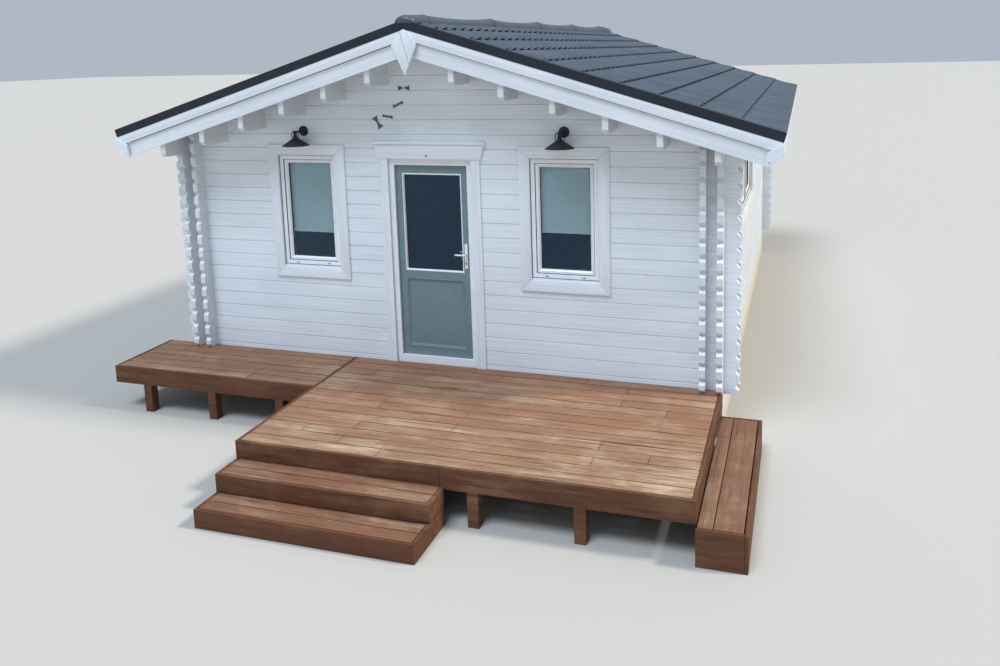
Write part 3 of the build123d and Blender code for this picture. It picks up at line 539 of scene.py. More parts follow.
def add_plate(shape, outline, at, near, far, finish=0):
    """A flat plate: an outline in a wall's own (across, up), from near to far off the wall."""
    rings = [[shape.verts.new(at @ Vector((u, v, w))) for u, v in outline] for w in (near, far)]
    caps = [shape.faces.new(rings[0]), shape.faces.new(rings[1][::-1])]
    count = len(outline)
    for i in range(count):
        j = (i + 1) % count
        caps.append(shape.faces.new((rings[0][i], rings[0][j], rings[1][j], rings[1][i])))
    for cap in caps:
        cap.material_index = finish
    return caps


def strip(half, foot, head):
    """A rectangle's outline: half its width to each side of the middle, from foot to head."""
    return [(-half, foot), (half, foot), (half, head), (-half, head)]


def join_rings(shape, rings, finish=0, closed=True):
    """Faces from each ring of points to the next, where a point that comes twice counts once."""
    for first, second in zip(rings, rings[1:]):
        count = len(first)
        for i in range(count if closed else count - 1):
            j = (i + 1) % count
            loop = []
            for corner in (first[i], first[j], second[j], second[i]):
                if corner not in loop:
                    loop.append(corner)
            if len(loop) > 2:
                shape.faces.new(loop).material_index = finish


def add_ring(shape, width, height, profile, at, finish=0):
    """A mitred rectangular ring: its section is a list of (inwards, off the wall) points."""
    corners = ((-1, -1), (1, -1), (1, 1), (-1, 1))
    rings = []
    for inset, off in profile:
        u, v = width / 2 - inset, height / 2 - inset
        rings.append([shape.verts.new(at @ Vector((a * u, b * v, off))) for a, b in corners])
    join_rings(shape, [*rings, rings[0]], finish)


def add_turned(shape, profile, at, steps=40, finish=0):
    """A turned form: (radius, along) points spun round the local third axis."""
    rings = []
    for radius, along in profile:
        if radius < 1e-6:
            rings.append([shape.verts.new(at @ Vector((0, 0, along)))] * steps)
            continue
        rings.append([
            shape.verts.new(at @ Vector((radius * math.cos(t), radius * math.sin(t), along)))
            for t in (2 * math.pi * k / steps for k in range(steps))
        ])
    join_rings(shape, rings, finish)


def add_pipe(shape, path, radii, steps=16, finish=0):
    """A round bar along a path of points, with a radius at each and closed ends."""
    points = [Vector(p) for p in path]
    side = None
    rings = []
    for i, point in enumerate(points):
        ahead = (points[min(i + 1, len(points) - 1)] - points[max(i - 1, 0)]).normalized()
        if side is None:
            side = ahead.orthogonal().normalized()
        side = (side - ahead * side.dot(ahead)).normalized()
        other = ahead.cross(side)
        rings.append([
            shape.verts.new(point + radii[i] * (math.cos(t) * side + math.sin(t) * other))
            for t in (2 * math.pi * k / steps for k in range(steps))
        ])
    join_rings(shape, rings, finish)
    for end in (rings[0][::-1], rings[-1]):
        shape.faces.new(end).material_index = finish


def soften(shape, width=BOARD_ROUND, segments=2, angle=30.0):
    """Rounds every sharp edge by a small width."""
    bmesh.ops.remove_doubles(shape, verts=shape.verts, dist=1e-6)
    bmesh.ops.recalc_face_normals(shape, faces=shape.faces)
    limit = math.radians(angle)
    edges = [e for e in shape.edges if len(e.link_faces) == 2 and e.calc_face_angle(0) > limit]
    bmesh.ops.bevel(
        shape, geom=edges, offset=width, segments=segments, profile=0.6, affect="EDGES", clamp_overlap=True
    )


def on_wall(across, origin):
    """A wall's own axes: across to the right as seen from outside, up, and off the wall."""
    across = Vector(across)
    up = Vector((0, 0, 1))
    turn = Matrix((across, up, across.cross(up))).transposed()
    return Matrix.Translation(Vector(origin)) @ turn.to_4x4()


def window_place(across, wall_point, size, lights):
    """A window's place on its wall, with its size and number of lights."""
    middle = GROUND_FLOOR + WINDOW_HEAD - size[1] / 2
    return on_wall(across, (wall_point[0], wall_point[1], middle)), size, lights


WINDOW_PLACES = (
    window_place((1, 0, 0), (-WINDOW_OFF_CENTRE, WALL_FRONT), WINDOW, 1),
    window_place((1, 0, 0), (WINDOW_OFF_CENTRE, WALL_FRONT), WINDOW, 1),
    window_place((-1, 0, 0), (0, WALL_BACK), WINDOW, 1),
    window_place((0, 1, 0), (WALL_SIDE, WIDE_WINDOW_MIDDLE), WIDE_WINDOW, 2),
    window_place((0, -1, 0), (-WALL_SIDE, WIDE_WINDOW_MIDDLE), WIDE_WINDOW, 2),
)


def window_lights():
    """Each light's own place and size, window by window."""
    for at, (width, height), lights in WINDOW_PLACES:
        share = width / lights
        for k in range(lights):
            yield at @ Matrix.Translation(Vector(((k + 0.5) * share - width / 2, 0, 0))), share, height


def make_windows():
    """Rigid-vinyl frames and sashes with stepped faces, gaskets, drain caps, and a black strip by the
    casing as painted shadow.
    """
    shape = bmesh.new()
    face = -FRAME_SETBACK
    back = face - FRAME_DEPTH
    frame_section = (
        (0.0, back), (0.0, face), (0.003, face + 0.002), (0.040, face + 0.002), (0.045, face - 0.001),
        (0.047, face - 0.013), (0.047, back),
    )
    sash_section = (
        (0.0475, back), (0.0475, face - 0.014), (0.050, face - 0.011), (0.072, face - 0.011),
        (0.076, face - 0.014), (0.086, face - 0.026), (PROFILE, face - 0.030), (PROFILE, back),
    )
    # Dark rings at two joints: a black strip in the gap by the casing, a painted shadow, and a rubber seal
    # between frame and sash
    seal_and_shadow_rings = (
        ((-0.002, face - 0.004), (-0.002, face + 0.0032), (0.006, face + 0.0032), (0.006, face - 0.004)),
        ((0.0445, face - 0.016), (0.0445, face - 0.002), (0.0505, face - 0.009), (0.0505, face - 0.016)),
    )
    gasket = (
        (0.0865, face - 0.028), (PROFILE + 0.003, face - 0.030), (PROFILE + 0.003, face - 0.037),
        (0.0865, face - 0.037),
    )
    cap = strip(0.014, -0.003, 0.003)
    for at, width, height in window_lights():
        add_ring(shape, width, height, frame_section, at)
        add_ring(shape, width, height, sash_section, at)
        for seal in (*seal_and_shadow_rings, gasket):
            add_ring(shape, width, height, seal, at, finish=1)
        for side in (-1, 1):
            foot = Vector((side * 0.275 * width, 0.022 - height / 2, face + 0.002))
            add_plate(shape, cap, at @ Matrix.Translation(foot), 0.0, 0.003, finish=2)
    finishes = (vinyl, gasket_rubber, powder_black)
    return make_piece("window_frames_stepped", "root", "white_pvc", shape, *finishes)


def make_casings():
    """Four planed boards round each window, mitred at the corners."""
    shape = bmesh.new()
    gap = 0.0006
    for at, (width, height), _ in WINDOW_PLACES:
        middle = at @ Matrix.Translation(Vector((0, (CASING_RISE - CASING_DROP) / 2, 0)))
        half_u, half_v = width / 2 + CASING, (height + CASING_RISE + CASING_DROP) / 2
        for side in (-1, 1):
            upright = [
                (side * half_u, -half_v + gap), (side * half_u, half_v - gap),
                (side * (half_u - CASING), half_v - CASING - gap),
                (side * (half_u - CASING), -half_v + CASING + gap),
            ]
            level = [
                (-half_u + gap, side * half_v), (half_u - gap, side * half_v),
                (half_u - CASING - gap, side * (half_v - CASING)),
                (-half_u + CASING + gap, side * (half_v - CASING)),
            ]
            add_plate(shape, upright, middle, 0.0, CASING_BOARD, 1)
            add_plate(shape, level, middle, 0.0, CASING_BOARD)
    soften(shape, 0.0025)
    return make_piece("window_casings_mitred", "root", "trim_paint", shape, trim_paint, upright_paint)


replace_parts(make_windows(), "window_frames")
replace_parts(make_casings(), "window_casings")

# Blinds: cloths let down by different lengths, each with a bar along its foot
cloth, bars = bmesh.new(), bmesh.new()
blind_back = -FRAME_SETBACK - FRAME_DEPTH
for k, (at, width, height) in enumerate(window_lights()):
    half = width / 2 - PROFILE + 0.024
    head = height / 2 - PROFILE
    foot = head - (height - 2 * PROFILE) * BLIND_SHARES[k]
    add_plate(cloth, strip(half, foot, head + 0.012), at, blind_back - 0.007, blind_back - 0.004)
    add_plate(bars, strip(half, foot - 0.010, foot + 0.008), at, blind_back - 0.010, blind_back - 0.001)
soften(bars)
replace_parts(make_piece("blind_cloths", "root", "blind_fabric", cloth, blind_cloth), "window_blinds")
make_piece("blind_bottom_bars", "root", "blind_fabric", bars, handle_white)

# Door: head board, glazing bead, field moulding, handles and levers
head_low, head_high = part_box("door_head_board")
leaf_low, leaf_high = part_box("door_leaf")
glass_low, glass_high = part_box("door_glass")
plate_low, plate_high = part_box("handle_plates")
lever_low, lever_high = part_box("door_lever")

shape = bmesh.new()
foot_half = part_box("door_casing")[1].x + 0.012
head_face = WALL_FRONT - head_low.y
front_of_wall = on_wall((1, 0, 0), (0, WALL_FRONT, 0))
head_outline = [
    (-foot_half, head_low.z), (foot_half, head_low.z), (head_high.x - 0.004, head_high.z - 0.024),
    (head_low.x + 0.004, head_high.z - 0.024),
]
add_plate(shape, head_outline, front_of_wall, 0.0, head_face)
crown = [
    (head_low.x - 0.006, head_high.z - 0.022), (head_high.x + 0.006, head_high.z - 0.022),
    (head_high.x + 0.010, head_high.z + 0.008), (head_low.x - 0.010, head_high.z + 0.008),
]
add_plate(shape, crown, front_of_wall, 0.0, head_face + 0.010)
soften(shape)
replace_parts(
    make_piece("door_head_board_shaped", "root", "trim_paint", shape, trim_paint), "door_head_board"
)

glass_size = (glass_high.x - glass_low.x, glass_high.z - glass_low.z)
leaf_front = on_wall((1, 0, 0), (0, leaf_low.y, (glass_low.z + glass_high.z) / 2))
depth = glass_low.y - leaf_low.y
bead = (
    (-0.004, -0.0005), (-0.004, 0.002), (-0.001, 0.004), (0.006, 0.004), (0.014, -depth + 0.005),
    (0.014, -depth), (0.0, -depth),
)
shape = bmesh.new()
add_ring(shape, *glass_size, bead, leaf_front)
make_piece("door_glazing_bead", "door", "white_pvc", shape, vinyl)

moulding = (
    (-0.0035, -0.0005), (-0.002, 0.003), (0.006, 0.003), (0.010, -0.004), (0.018, -0.006),
    (0.024, -0.0118), (0.0, -0.0118),
)
field = on_wall((1, 0, 0), (0, leaf_low.y, GROUND_FLOOR + FIELD_FOOT + FIELD_HEIGHT / 2))
shape = bmesh.new()
add_ring(shape, glass_size[0], FIELD_HEIGHT, moulding, field)
make_piece("door_field_moulding", "door", "door_paint", shape, door_vinyl)

handle_x = (plate_low.x + plate_high.x) / 2
plate_z = (plate_low.z + plate_high.z) / 2
corner_x = (plate_high.x - plate_low.x) / 2 - HANDLE_PLATE_CORNER
corner_z = (plate_high.z - plate_low.z) / 2 - HANDLE_PLATE_CORNER
outline = []
for quarter, (a, b) in enumerate(((1, 1), (-1, 1), (-1, -1), (1, -1))):
    for step in range(7):
        turn = math.radians(90 * quarter + 15 * step)
        outline.append((
            a * corner_x + HANDLE_PLATE_CORNER * math.cos(turn),
            b * corner_z + HANDLE_PLATE_CORNER * math.sin(turn),
        ))
shape = bmesh.new()
plate_faces = (((1, 0, 0), leaf_low.y), ((-1, 0, 0), leaf_high.y))
for across, y in plate_faces:
    add_plate(shape, outline, on_wall(across, (handle_x, y, plate_z)), 0.0, HANDLE_PLATE)
soften(shape, segments=3, angle=60)
for across, y in plate_faces:
    at = on_wall(across, (handle_x, y, plate_z - 0.072))
    add_turned(shape, ((0.0, 0.0125), (0.007, 0.0125), (0.0085, 0.011), (0.0085, 0.006)), at, 24, 1)
    # The keyhole is a thin black slot: a painted shadow of the hole
    keyhole = strip(0.0012, -0.016, 0.004)
    add_plate(shape, keyhole, at, 0.0090, 0.0132, 2)
plate_finishes = (handle_white, screw_steel, gasket_rubber)
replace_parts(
    make_piece("handle_plates_rounded", "door", "handle_white", shape, *plate_finishes), "handle_plates"
)

shape = bmesh.new()
spindle_z = (lever_low.z + lever_high.z) / 2
tip = lever_low.x + 0.002
for outward, y_plate, y_lever in (
    (-1, leaf_low.y - HANDLE_PLATE, lever_low.y + 0.010),
    (1, leaf_high.y + HANDLE_PLATE, lever_high.y - 0.010),
):
    path = [
        (handle_x, y_plate, spindle_z),
        (handle_x, y_lever - outward * 0.012, spindle_z),
        (handle_x - 0.003, y_lever - outward * 0.004, spindle_z),
        (handle_x - 0.011, y_lever, spindle_z),
        (handle_x - 0.030, y_lever + outward * 0.001, spindle_z),
        (handle_x - 0.075, y_lever, spindle_z - 0.001),
        (tip + 0.006, y_lever - outward * 0.003, spindle_z - 0.001),
        (tip, y_lever - outward * 0.004, spindle_z),
    ]
    add_pipe(shape, path, [0.0095, 0.0095, 0.0098, 0.0095, 0.009, 0.0085, 0.008, 0.005])
spindle = [(handle_x, leaf_low.y - 0.010, spindle_z), (handle_x, leaf_high.y + 0.010, spindle_z)]
add_pipe(shape, spindle, [0.009, 0.009])
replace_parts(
    make_piece("door_levers_curved", "door_lever", "handle_white", shape, handle_white), "door_lever"
)

# Wall lamps: a pressed plate, a straight arm, a knuckle and a spun conical shade
plate_section = ((0.0, 0.020), (0.040, 0.020), (0.050, 0.014), (0.053, 0.0), (0.0, 0.0))
shade_outside = (
    (0.0, 0.008), (0.012, 0.008), (0.017, 0.004), (0.018, -0.004), (0.018, -0.030), (0.024, -0.032),
    (0.024, -0.040), (0.021, -0.042), (0.026, -0.058), (0.036, -0.066), (0.064, -0.084), (0.102, -0.110),
    (0.134, -0.132), (0.138, -0.134), (0.139, -0.137),
)
shade_inside = (
    (0.139, -0.137), (0.136, -0.136), (0.100, -0.113), (0.062, -0.088), (0.034, -0.070), (0.0, -0.068),
)
shape = bmesh.new()
for x in (-LAMP_OFF_CENTRE, LAMP_OFF_CENTRE):
    add_turned(shape, plate_section, on_wall((1, 0, 0), (x, WALL_FRONT, LAMP_HEIGHT)), 40)
    arm = [(x, WALL_FRONT, LAMP_HEIGHT), (x, WALL_FRONT - LAMP_REACH, LAMP_HEIGHT)]
    add_pipe(shape, arm, [0.009, 0.009])
    shade = Matrix.Translation(Vector((x, WALL_FRONT - LAMP_REACH, LAMP_HEIGHT)))
    add_turned(shape, shade_outside, shade, 56)
    add_turned(shape, shade_inside, shade, 56, 1)
    yoke = [(-0.041, -0.064), (-0.043, -0.030), (-0.036, -0.004), (-0.018, 0.010), (0.0, 0.013)]
    yoke += [(-across, rise) for across, rise in reversed(yoke[:-1])]
    bent = [(x + across, WALL_FRONT - LAMP_REACH, LAMP_HEIGHT + rise) for across, rise in yoke]
    add_pipe(shape, bent, [0.0045] * len(bent), 8)
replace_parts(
    make_piece("wall_lamps_spun", "root", "lamp_black", shape, powder_black, lamp_inside), "wall_lamps"
)

# Roof sheets
sheet_low, sheet_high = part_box("roof_sheet_right")
verge_low, verge_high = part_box("verge_flashings_right")
ceiling_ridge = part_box("ridge_purlin")[1].z
slope_length = (sheet_high.x - SHEET_AND_FLASHING * math.sin(PITCH)) / math.cos(PITCH)
waves = round((sheet_high.y - sheet_low.y) / TILE_WAVE)
wave_length = (sheet_high.y - sheet_low.y) / waves
lip_front = verge_low.y + FLASHING_LIP
lip_back = verge_high.y - FLASHING_LIP


def ramp_up(value, low, high):
    """A number brought from the range low to high into 0 to 1."""
    return max(0.0, min(1.0, (value - low) / (high - low)))


def wave_height(y):
    """Height of the pressed wave at a place along the ridge: a flat pan between round rolls."""
    share = ((y - sheet_low.y) / wave_length) % 1.0
    if not ROLL_START < share < ROLL_END:
        return 0.0
    return math.sin(math.pi * (share - ROLL_START) / (ROLL_END - ROLL_START))


def open_field(y):
    """One over the open roof, falling to nothing under the verge flashings' lips."""
    return ramp_up(min(y - lip_front, lip_back - y), 0.0, 0.060)


def make_roof_sheet(side):
    """One slope of tile-effect sheet, pressed in waves and steps, each step's lip tucked under.

    A mark is a place down the slope, its share of the step's lift and of its scallop, and of the
    painted shade under its lip.
    """
    rows = math.ceil((slope_length - TILE_LAST_ROW - SHEET_START) / TILE_ROW)
    edges = [slope_length - TILE_LAST_ROW - k * TILE_ROW for k in range(rows, -1, -1)] + [slope_length]
    marks = []
    for high, low in zip(edges, edges[1:]):
        marks += [
            (high - 0.020, 0.0, 1.0, 1.0), (high + 0.005, 0.02, 1.0, 1.0), (high + 0.020, 0.08, 1.0, 0.0),
            (high + 0.060, 0.22, 0.8, 0.0),
            (low - 0.120, 0.80, 0.4, 0.0), (low - 0.012, 1.0, 1.0, 0.0), (low, 0.90, 1.0, 1.0),
            (low - 0.002, 0.66, 1.0, 1.0),
        ]
    places = [sheet_low.y + (k + share) * wave_length for k in range(waves) for share in WAVE_SHARES]
    places.append(sheet_high.y)
    shape = bmesh.new()
    painted_lip_shade = shape.faces.layers.float.new("painted_lip_shade")
    columns = []
    for y in places:
        wave, field = wave_height(y), open_field(y)
        column = []
        for down, lift, bent, _ in marks:
            down += STEP_SCALLOP * (wave - 0.75) * bent
            down = max(SHEET_START, min(slope_length, down))
            step = lift * field * (STEP_LIFT_IN_PAN + (1 - STEP_LIFT_IN_PAN) * wave ** 2)
            rise = WAVE_FOOT + WAVE_LIFT * wave + STEP_LIFT * step
            x = down * math.cos(PITCH) + rise * math.sin(PITCH)
            z = ceiling_ridge - down * math.sin(PITCH) + rise * math.cos(PITCH)
            column.append(shape.verts.new((side * x, y, z)))
        columns.append(column)
    for first, second in zip(columns, columns[1:]):
        for i in range(len(marks) - 1):
            corners = [first[i], first[i + 1], second[i + 1], second[i]]
            if side < 0:
                corners.reverse()
            depth = sum((column[i].co - column[i + 1].co).length for column in (first, second))
            if depth > 1e-5:
                rolled = ramp_up(wave_height((first[i].co.y + second[i].co.y) / 2), 0.50, 0.80)
                shape.faces.new(corners)[painted_lip_shade] = marks[i][3] * rolled
    word = "right" if side > 0 else "left"
    piece = make_piece(
        f"roof_tile_sheet_{word}", "root", "roof_steel", shape, tile_steel, sharp=40.0, solid=False
    )
    gauge = piece.modifiers.new("gauge", "SOLIDIFY")
    gauge.thickness = SHEET_GAUGE
    gauge.offset = -1.0
    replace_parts(piece, f"roof_sheet_{word}")


make_roof_sheet(1)
make_roof_sheet(-1)

# Ridge: a domed end piece at each gable, and long half-round caps that lap with a bead
cap_low, cap_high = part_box("ridge_cap")
cap_radius = (cap_high.x - cap_low.x) / 2


def cap_ring(shape, y, half_width, height):
    """One cross-section of the ridge cap: feet turned out on the sheets, and an arch between."""
    points = [(half_width + 0.014, -0.009), (half_width + 0.001, -0.006)]
    points += [
        (half_width * math.cos(math.pi * a / ARC_STEPS), height * math.sin(math.pi * a / ARC_STEPS))
        for a in range(ARC_STEPS + 1)
    ]
    points += [(-half_width - 0.001, -0.006), (-half_width - 0.014, -0.009)]
    return [shape.verts.new((x, y, cap_low.z + z)) for x, z in points]


def ridge_stations():
    """Places along the ridge with the cap's half width and height: long caps sag between their beads."""
    dome = (
        (0.000, 0.030, 0.018), (0.006, 0.060, 0.038), (0.016, 0.082, 0.052), (0.032, 0.096, 0.062),
        (0.060, 0.104, 0.068), (0.240, 0.102, 0.072), (END_PIECE - 0.020, 0.098, 0.076),
        (END_PIECE - 0.018, 0.101, 0.080), (END_PIECE, 0.101, 0.080), (END_PIECE + 0.002, 0.096, 0.075),
    )
    near, far = cap_low.y - 0.008, cap_high.y + 0.008
    sags = ((0.85, 0.002, 0.010), (0.65, 0.0, 0.019), (0.45, 0.0, 0.021), (0.22, 0.0, 0.012))
    bead = ((0.030, 0.002, 0.002), (0.028, 0.007, 0.008), (0.004, 0.007, 0.008), (0.0, 0.004, 0.003))
    stations = [(near + along, half, height) for along, half, height in dome]
    y = near + END_PIECE + 0.004
    while y + RIDGE_CAP_COVER < far - END_PIECE:
        y += RIDGE_CAP_COVER
        for share, wider, lower in sags:
            stations.append((y - RIDGE_CAP_COVER * share, cap_radius + wider, cap_radius - lower))
        for back, wider, higher in bead:
            stations.append((y - back, cap_radius + wider, cap_radius + higher))
    stations += [(far - along, half, height) for along, half, height in reversed(dome)]
    return [(y, half, height + RIDGE_RISE * (y - near) / (far - near)) for y, half, height in stations]


shape = bmesh.new()
rings = [cap_ring(shape, *station) for station in ridge_stations()]
join_rings(shape, rings[::-1], closed=False)
shape.faces.new(rings[0])
shape.faces.new(rings[-1][::-1])
piece = make_piece("ridge_caps_lapped", "root", "roof_steel", shape, shaded_ridge_steel, sharp=38.0, solid=False)
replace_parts(piece, "ridge_cap")

shape = bmesh.new()
for side in (-1, 1):
    add_block(
        shape, (side * 0.064, lip_front, cap_low.z - 0.040), (side * 0.076, lip_back, cap_low.z - 0.004)
    )
make_piece("ridge_fillers", "root", "roof_steel", shape, gasket_rubber)

# Barge covers: planed boards over the barge boards, with a thin black strip under each, a painted shadow
# in the gap
board_low, board_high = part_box("barge_boards_right")
for side, word in ((-1, "left"), (1, "right")):
    cover_low, cover_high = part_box(f"barge_covers_{word}")
    reach = max(abs(cover_low.x), abs(cover_high.x))
    fall = reach * math.tan(PITCH)
    head, foot = cover_high.z, cover_low.z + fall - COVER_DROP
    boards, gaps = bmesh.new(), bmesh.new()
    for across, y in (((1, 0, 0), board_low.y), ((-1, 0, 0), board_high.y)):
        at = on_wall(across, (0, y, 0))
        way = side * across[0]
        cover = [(0.0, foot), (way * reach, foot - fall), (way * reach, head - fall), (0.0, head)]
        gap = [
            (0.0, foot - GAP_HEIGHT), (way * reach * GAP_REACH, foot - GAP_HEIGHT - fall * GAP_REACH),
            (way * reach * GAP_REACH, foot + GAP_LAP - fall * GAP_REACH), (0.0, foot + GAP_LAP),
        ]
        add_plate(boards, cover, at, 0.0, board_low.y - cover_low.y)
        add_plate(gaps, gap, at, 0.0, 0.0012)
    soften(boards)
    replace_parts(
        make_piece(f"barge_cover_boards_{word}", "root", "trim_paint", boards, barge_paint[word]),
        f"barge_covers_{word}",
    )
    # The black strip under each cover is a painted shadow in the gap
    make_piece(f"barge_shadow_gaps_{word}", "root", "trim_paint", gaps, gasket_rubber)

# Finials: cut boards with a slanting joint
finial_low, finial_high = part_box("finials")
cover_front, cover_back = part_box("barge_covers_right")[0].y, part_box("barge_covers_right")[1].y
shape = bmesh.new()
top, half = finial_high.z, finial_high.x
near_top, under_top = FINIAL_TOP
left_board = [
    (-near_top + 0.012, top - under_top + 0.006), (-near_top, top - under_top),
    (-half, top - FINIAL_SHOULDER), (0.0, finial_low.z), (half * 0.38, top - 0.320),
]
right_board = [
    (half * 0.38 + 0.003, top - 0.3165), (half, top - FINIAL_SHOULDER), (near_top, top - under_top),
    (0.0, top), (-near_top + 0.016, top - under_top + 0.009),
]
for across, y in (((1, 0, 0), cover_front), ((-1, 0, 0), cover_back)):
    at = on_wall(across, (0, y, 0))
    add_plate(shape, left_board, at, 0.0, FINIAL_THICK)
    add_plate(shape, right_board, at, 0.0, FINIAL_THICK)
soften(shape)
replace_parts(make_piece("finials_boarded", "root", "trim_paint", shape, upright_paint), "finials")

# Small tin bows on the gable: across, up, turn in degrees, half length and half width
BOWS = (
    (-0.234, 3.284, 0, 0.064, 0.024), (-0.304, 3.123, 24, 0.060, 0.016),
    (-0.425, 3.004, -8, 0.058, 0.016), (-0.537, 2.945, -58, 0.066, 0.034),
)
shape = bmesh.new()
for x, z, turn, reach, spread in BOWS:
    at = on_wall((1, 0, 0), (x, WALL_FRONT, z)) @ Matrix.Rotation(math.radians(turn), 4, "Z")
    wing = [
        (-reach, -spread), (-0.009, -0.007), (0.009, -0.007), (reach, -spread), (reach * 0.92, 0.0),
        (reach, spread), (0.009, 0.007), (-0.009, 0.007), (-reach, spread), (-reach * 0.92, 0.0),
    ]
    add_plate(shape, wing, at, 0.0, 0.004)
    knot = strip(0.008, -0.011, 0.011)
    add_plate(shape, knot, at, 0.003, 0.008, 1 if turn == 0 else 0)
hook = ((0.0, 0.012), (0.005, 0.011), (0.008, 0.007), (0.009, 0.0))
add_turned(shape, hook, on_wall((1, 0, 0), (-0.016, head_low.y, 2.618)), 16)
make_piece("gable_bows_and_hook", "root", "lamp_black", shape, bow_paint, lamp_inside)

# Deck, walkway, side step and front steps: boards inside edge boards that stand on edge
random.seed(7)
deck_low, deck_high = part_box("deck_boards")
walk_low, walk_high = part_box("walkway_boards")
side_low, side_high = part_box("side_step_boards")
skirt_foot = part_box("deck_skirts")[0].z


def add_board(shape, low, high, damp_and_shade=0.0):
    """One board with its own shade, its sides in the gaps between boards darkened as damp and painted
    shade.
    """
    shades, damp_and_shade_layer = (shape.faces.layers.float[name] for name in ("board_shade", "damp_and_shade"))
    shade = random.random()
    for face in add_block(shape, low, high):
        face.normal_update()
        face[shades] = shade
        face[damp_and_shade_layer] = damp_and_shade if face.normal.z < 0.5 else 0.0


def board_mesh():
    """A new mesh whose faces carry each board's shade, and the damp and painted shade of its sides."""
    shape = bmesh.new()
    for name in ("board_shade", "damp_and_shade"):
        shape.faces.layers.float.new(name)
    return shape


def boards_piece(name, shape, finish):
    """A set of boards with rounded edges, as one piece."""
    soften(shape)
    return make_piece(name, "root", "deck_wood", shape, finish)


def lay_rows(shape, screws, low, high, count, joists):
    """Rows of boards along X between two corners, butted end to end over joists, with screws."""
    width = (high[1] - low[1] - BOARD_GAP * (count - 1)) / count
    for row in range(count):
        y = low[1] + row * (width + BOARD_GAP)
        seal_and_shadow_rings = random.choice((0, 1, 1, 2)) if len(joists) > 6 else 0
        cuts = sorted(random.sample(joists[1:-1], seal_and_shadow_rings))
        starts = [low[0]] + [cut + BUTT_GAP / 2 for cut in cuts]
        ends = [cut - BUTT_GAP / 2 for cut in cuts] + [high[0]]
        for start, end in zip(starts, ends):
            top = high[2] - random.uniform(0.0, UNEVEN)
            add_board(shape, (start, y, high[2] - BOARD_THICK), (end, y + width, top), DAMP_AND_SHADE_SIDES)
            for x in [start + 0.020, end - 0.020] + [j for j in joists if start + 0.1 < j < end - 0.1]:
                for share in SCREW_SHARES:
                    add_screw(screws, x + random.uniform(-0.003, 0.003), y + share * width, top)


def add_screw(shape, x, y, z):
    """A screw head sunk level with a board."""
    head = ((0.0, 0.0006), (0.0036, 0.0006), (0.0044, 0.0), (0.0044, -0.002))
    add_turned(shape, head, Matrix.Translation(Vector((x, y, z))), 8)


def spaced(start, end, step):
    """Even places from start to end, about a step apart."""
    bays = round((end - start) / step)
    return [start + (end - start) * k / bays for k in range(bays + 1)]


screws = bmesh.new()
edge, top = EDGE_BOARD, deck_high.z
for word, low, high, right_gap, count in (
    ("deck", deck_low, deck_high, edge + EDGE_GAP, 14), ("walkway", walk_low, walk_high, 0.003, 6),
):
    boards = board_mesh()
    lay_rows(
        boards, screws, (low.x + edge + EDGE_GAP, low.y + edge + 0.005),
        (high.x - right_gap, high.y - WALL_GAP, top), count, spaced(low.x, high.x, JOIST_SPACING),
    )
    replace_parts(boards_piece(f"{word}_boards_laid", boards, boards_along_x), f"{word}_boards")

boards = board_mesh()
for low, high in (
    ((deck_low.x, deck_low.y, skirt_foot), (FRONT_EDGE_JOINT, deck_low.y + edge, top)),
    ((FRONT_EDGE_JOINT + 0.002, deck_low.y, skirt_foot), (deck_high.x, deck_low.y + edge, top)),
    ((walk_low.x, walk_low.y, skirt_foot), (walk_high.x - 0.001, walk_low.y + edge, top)),
):
    add_board(boards, low, high)
boards_piece("deck_edge_boards_front", boards, shaded_edge_boards_along_x)

boards = board_mesh()
for x, near in (
    (deck_low.x, deck_low.y + edge + 0.001), (deck_high.x - edge, deck_low.y + edge + 0.001),
    (walk_low.x, walk_low.y + edge + 0.001),
):
    add_board(boards, (x, near, skirt_foot), (x + edge, deck_high.y - WALL_GAP, top))
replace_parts(boards_piece("deck_edge_boards_side", boards, shaded_edge_boards_along_y), "deck_skirts")

boards = board_mesh()
first, last = side_low.y + edge + EDGE_GAP, side_high.y - edge - EDGE_GAP
for start, end in SIDE_STEP_BOARDS:
    corners = (side_low.x + start, first, side_low.z), (side_low.x + end, last, side_high.z)
    add_board(boards, *corners, DAMP_AND_SHADE_SIDES)
    for y in spaced(first + 0.03, last - 0.03, 0.45):
        for share in SCREW_SHARES:
            add_screw(screws, side_low.x + start + share * (end - start), y, side_high.z)
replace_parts(boards_piece("side_step_boards_laid", boards, shaded_step_boards_along_y), "side_step_boards")

boards = board_mesh()
for y in (side_low.y, side_high.y - edge):
    add_board(boards, (side_low.x + 0.001, y, 0.0), (side_high.x - edge - 0.001, y + edge, side_high.z))
boards_piece("side_step_ends", boards, shaded_edge_boards_along_x)

boards = board_mesh()
add_board(boards, (side_high.x - edge, side_low.y, 0.0), (side_high.x, side_high.y, side_high.z))
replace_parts(boards_piece("side_step_edge_board", boards, shaded_edge_boards_along_y), "side_step_skirt")

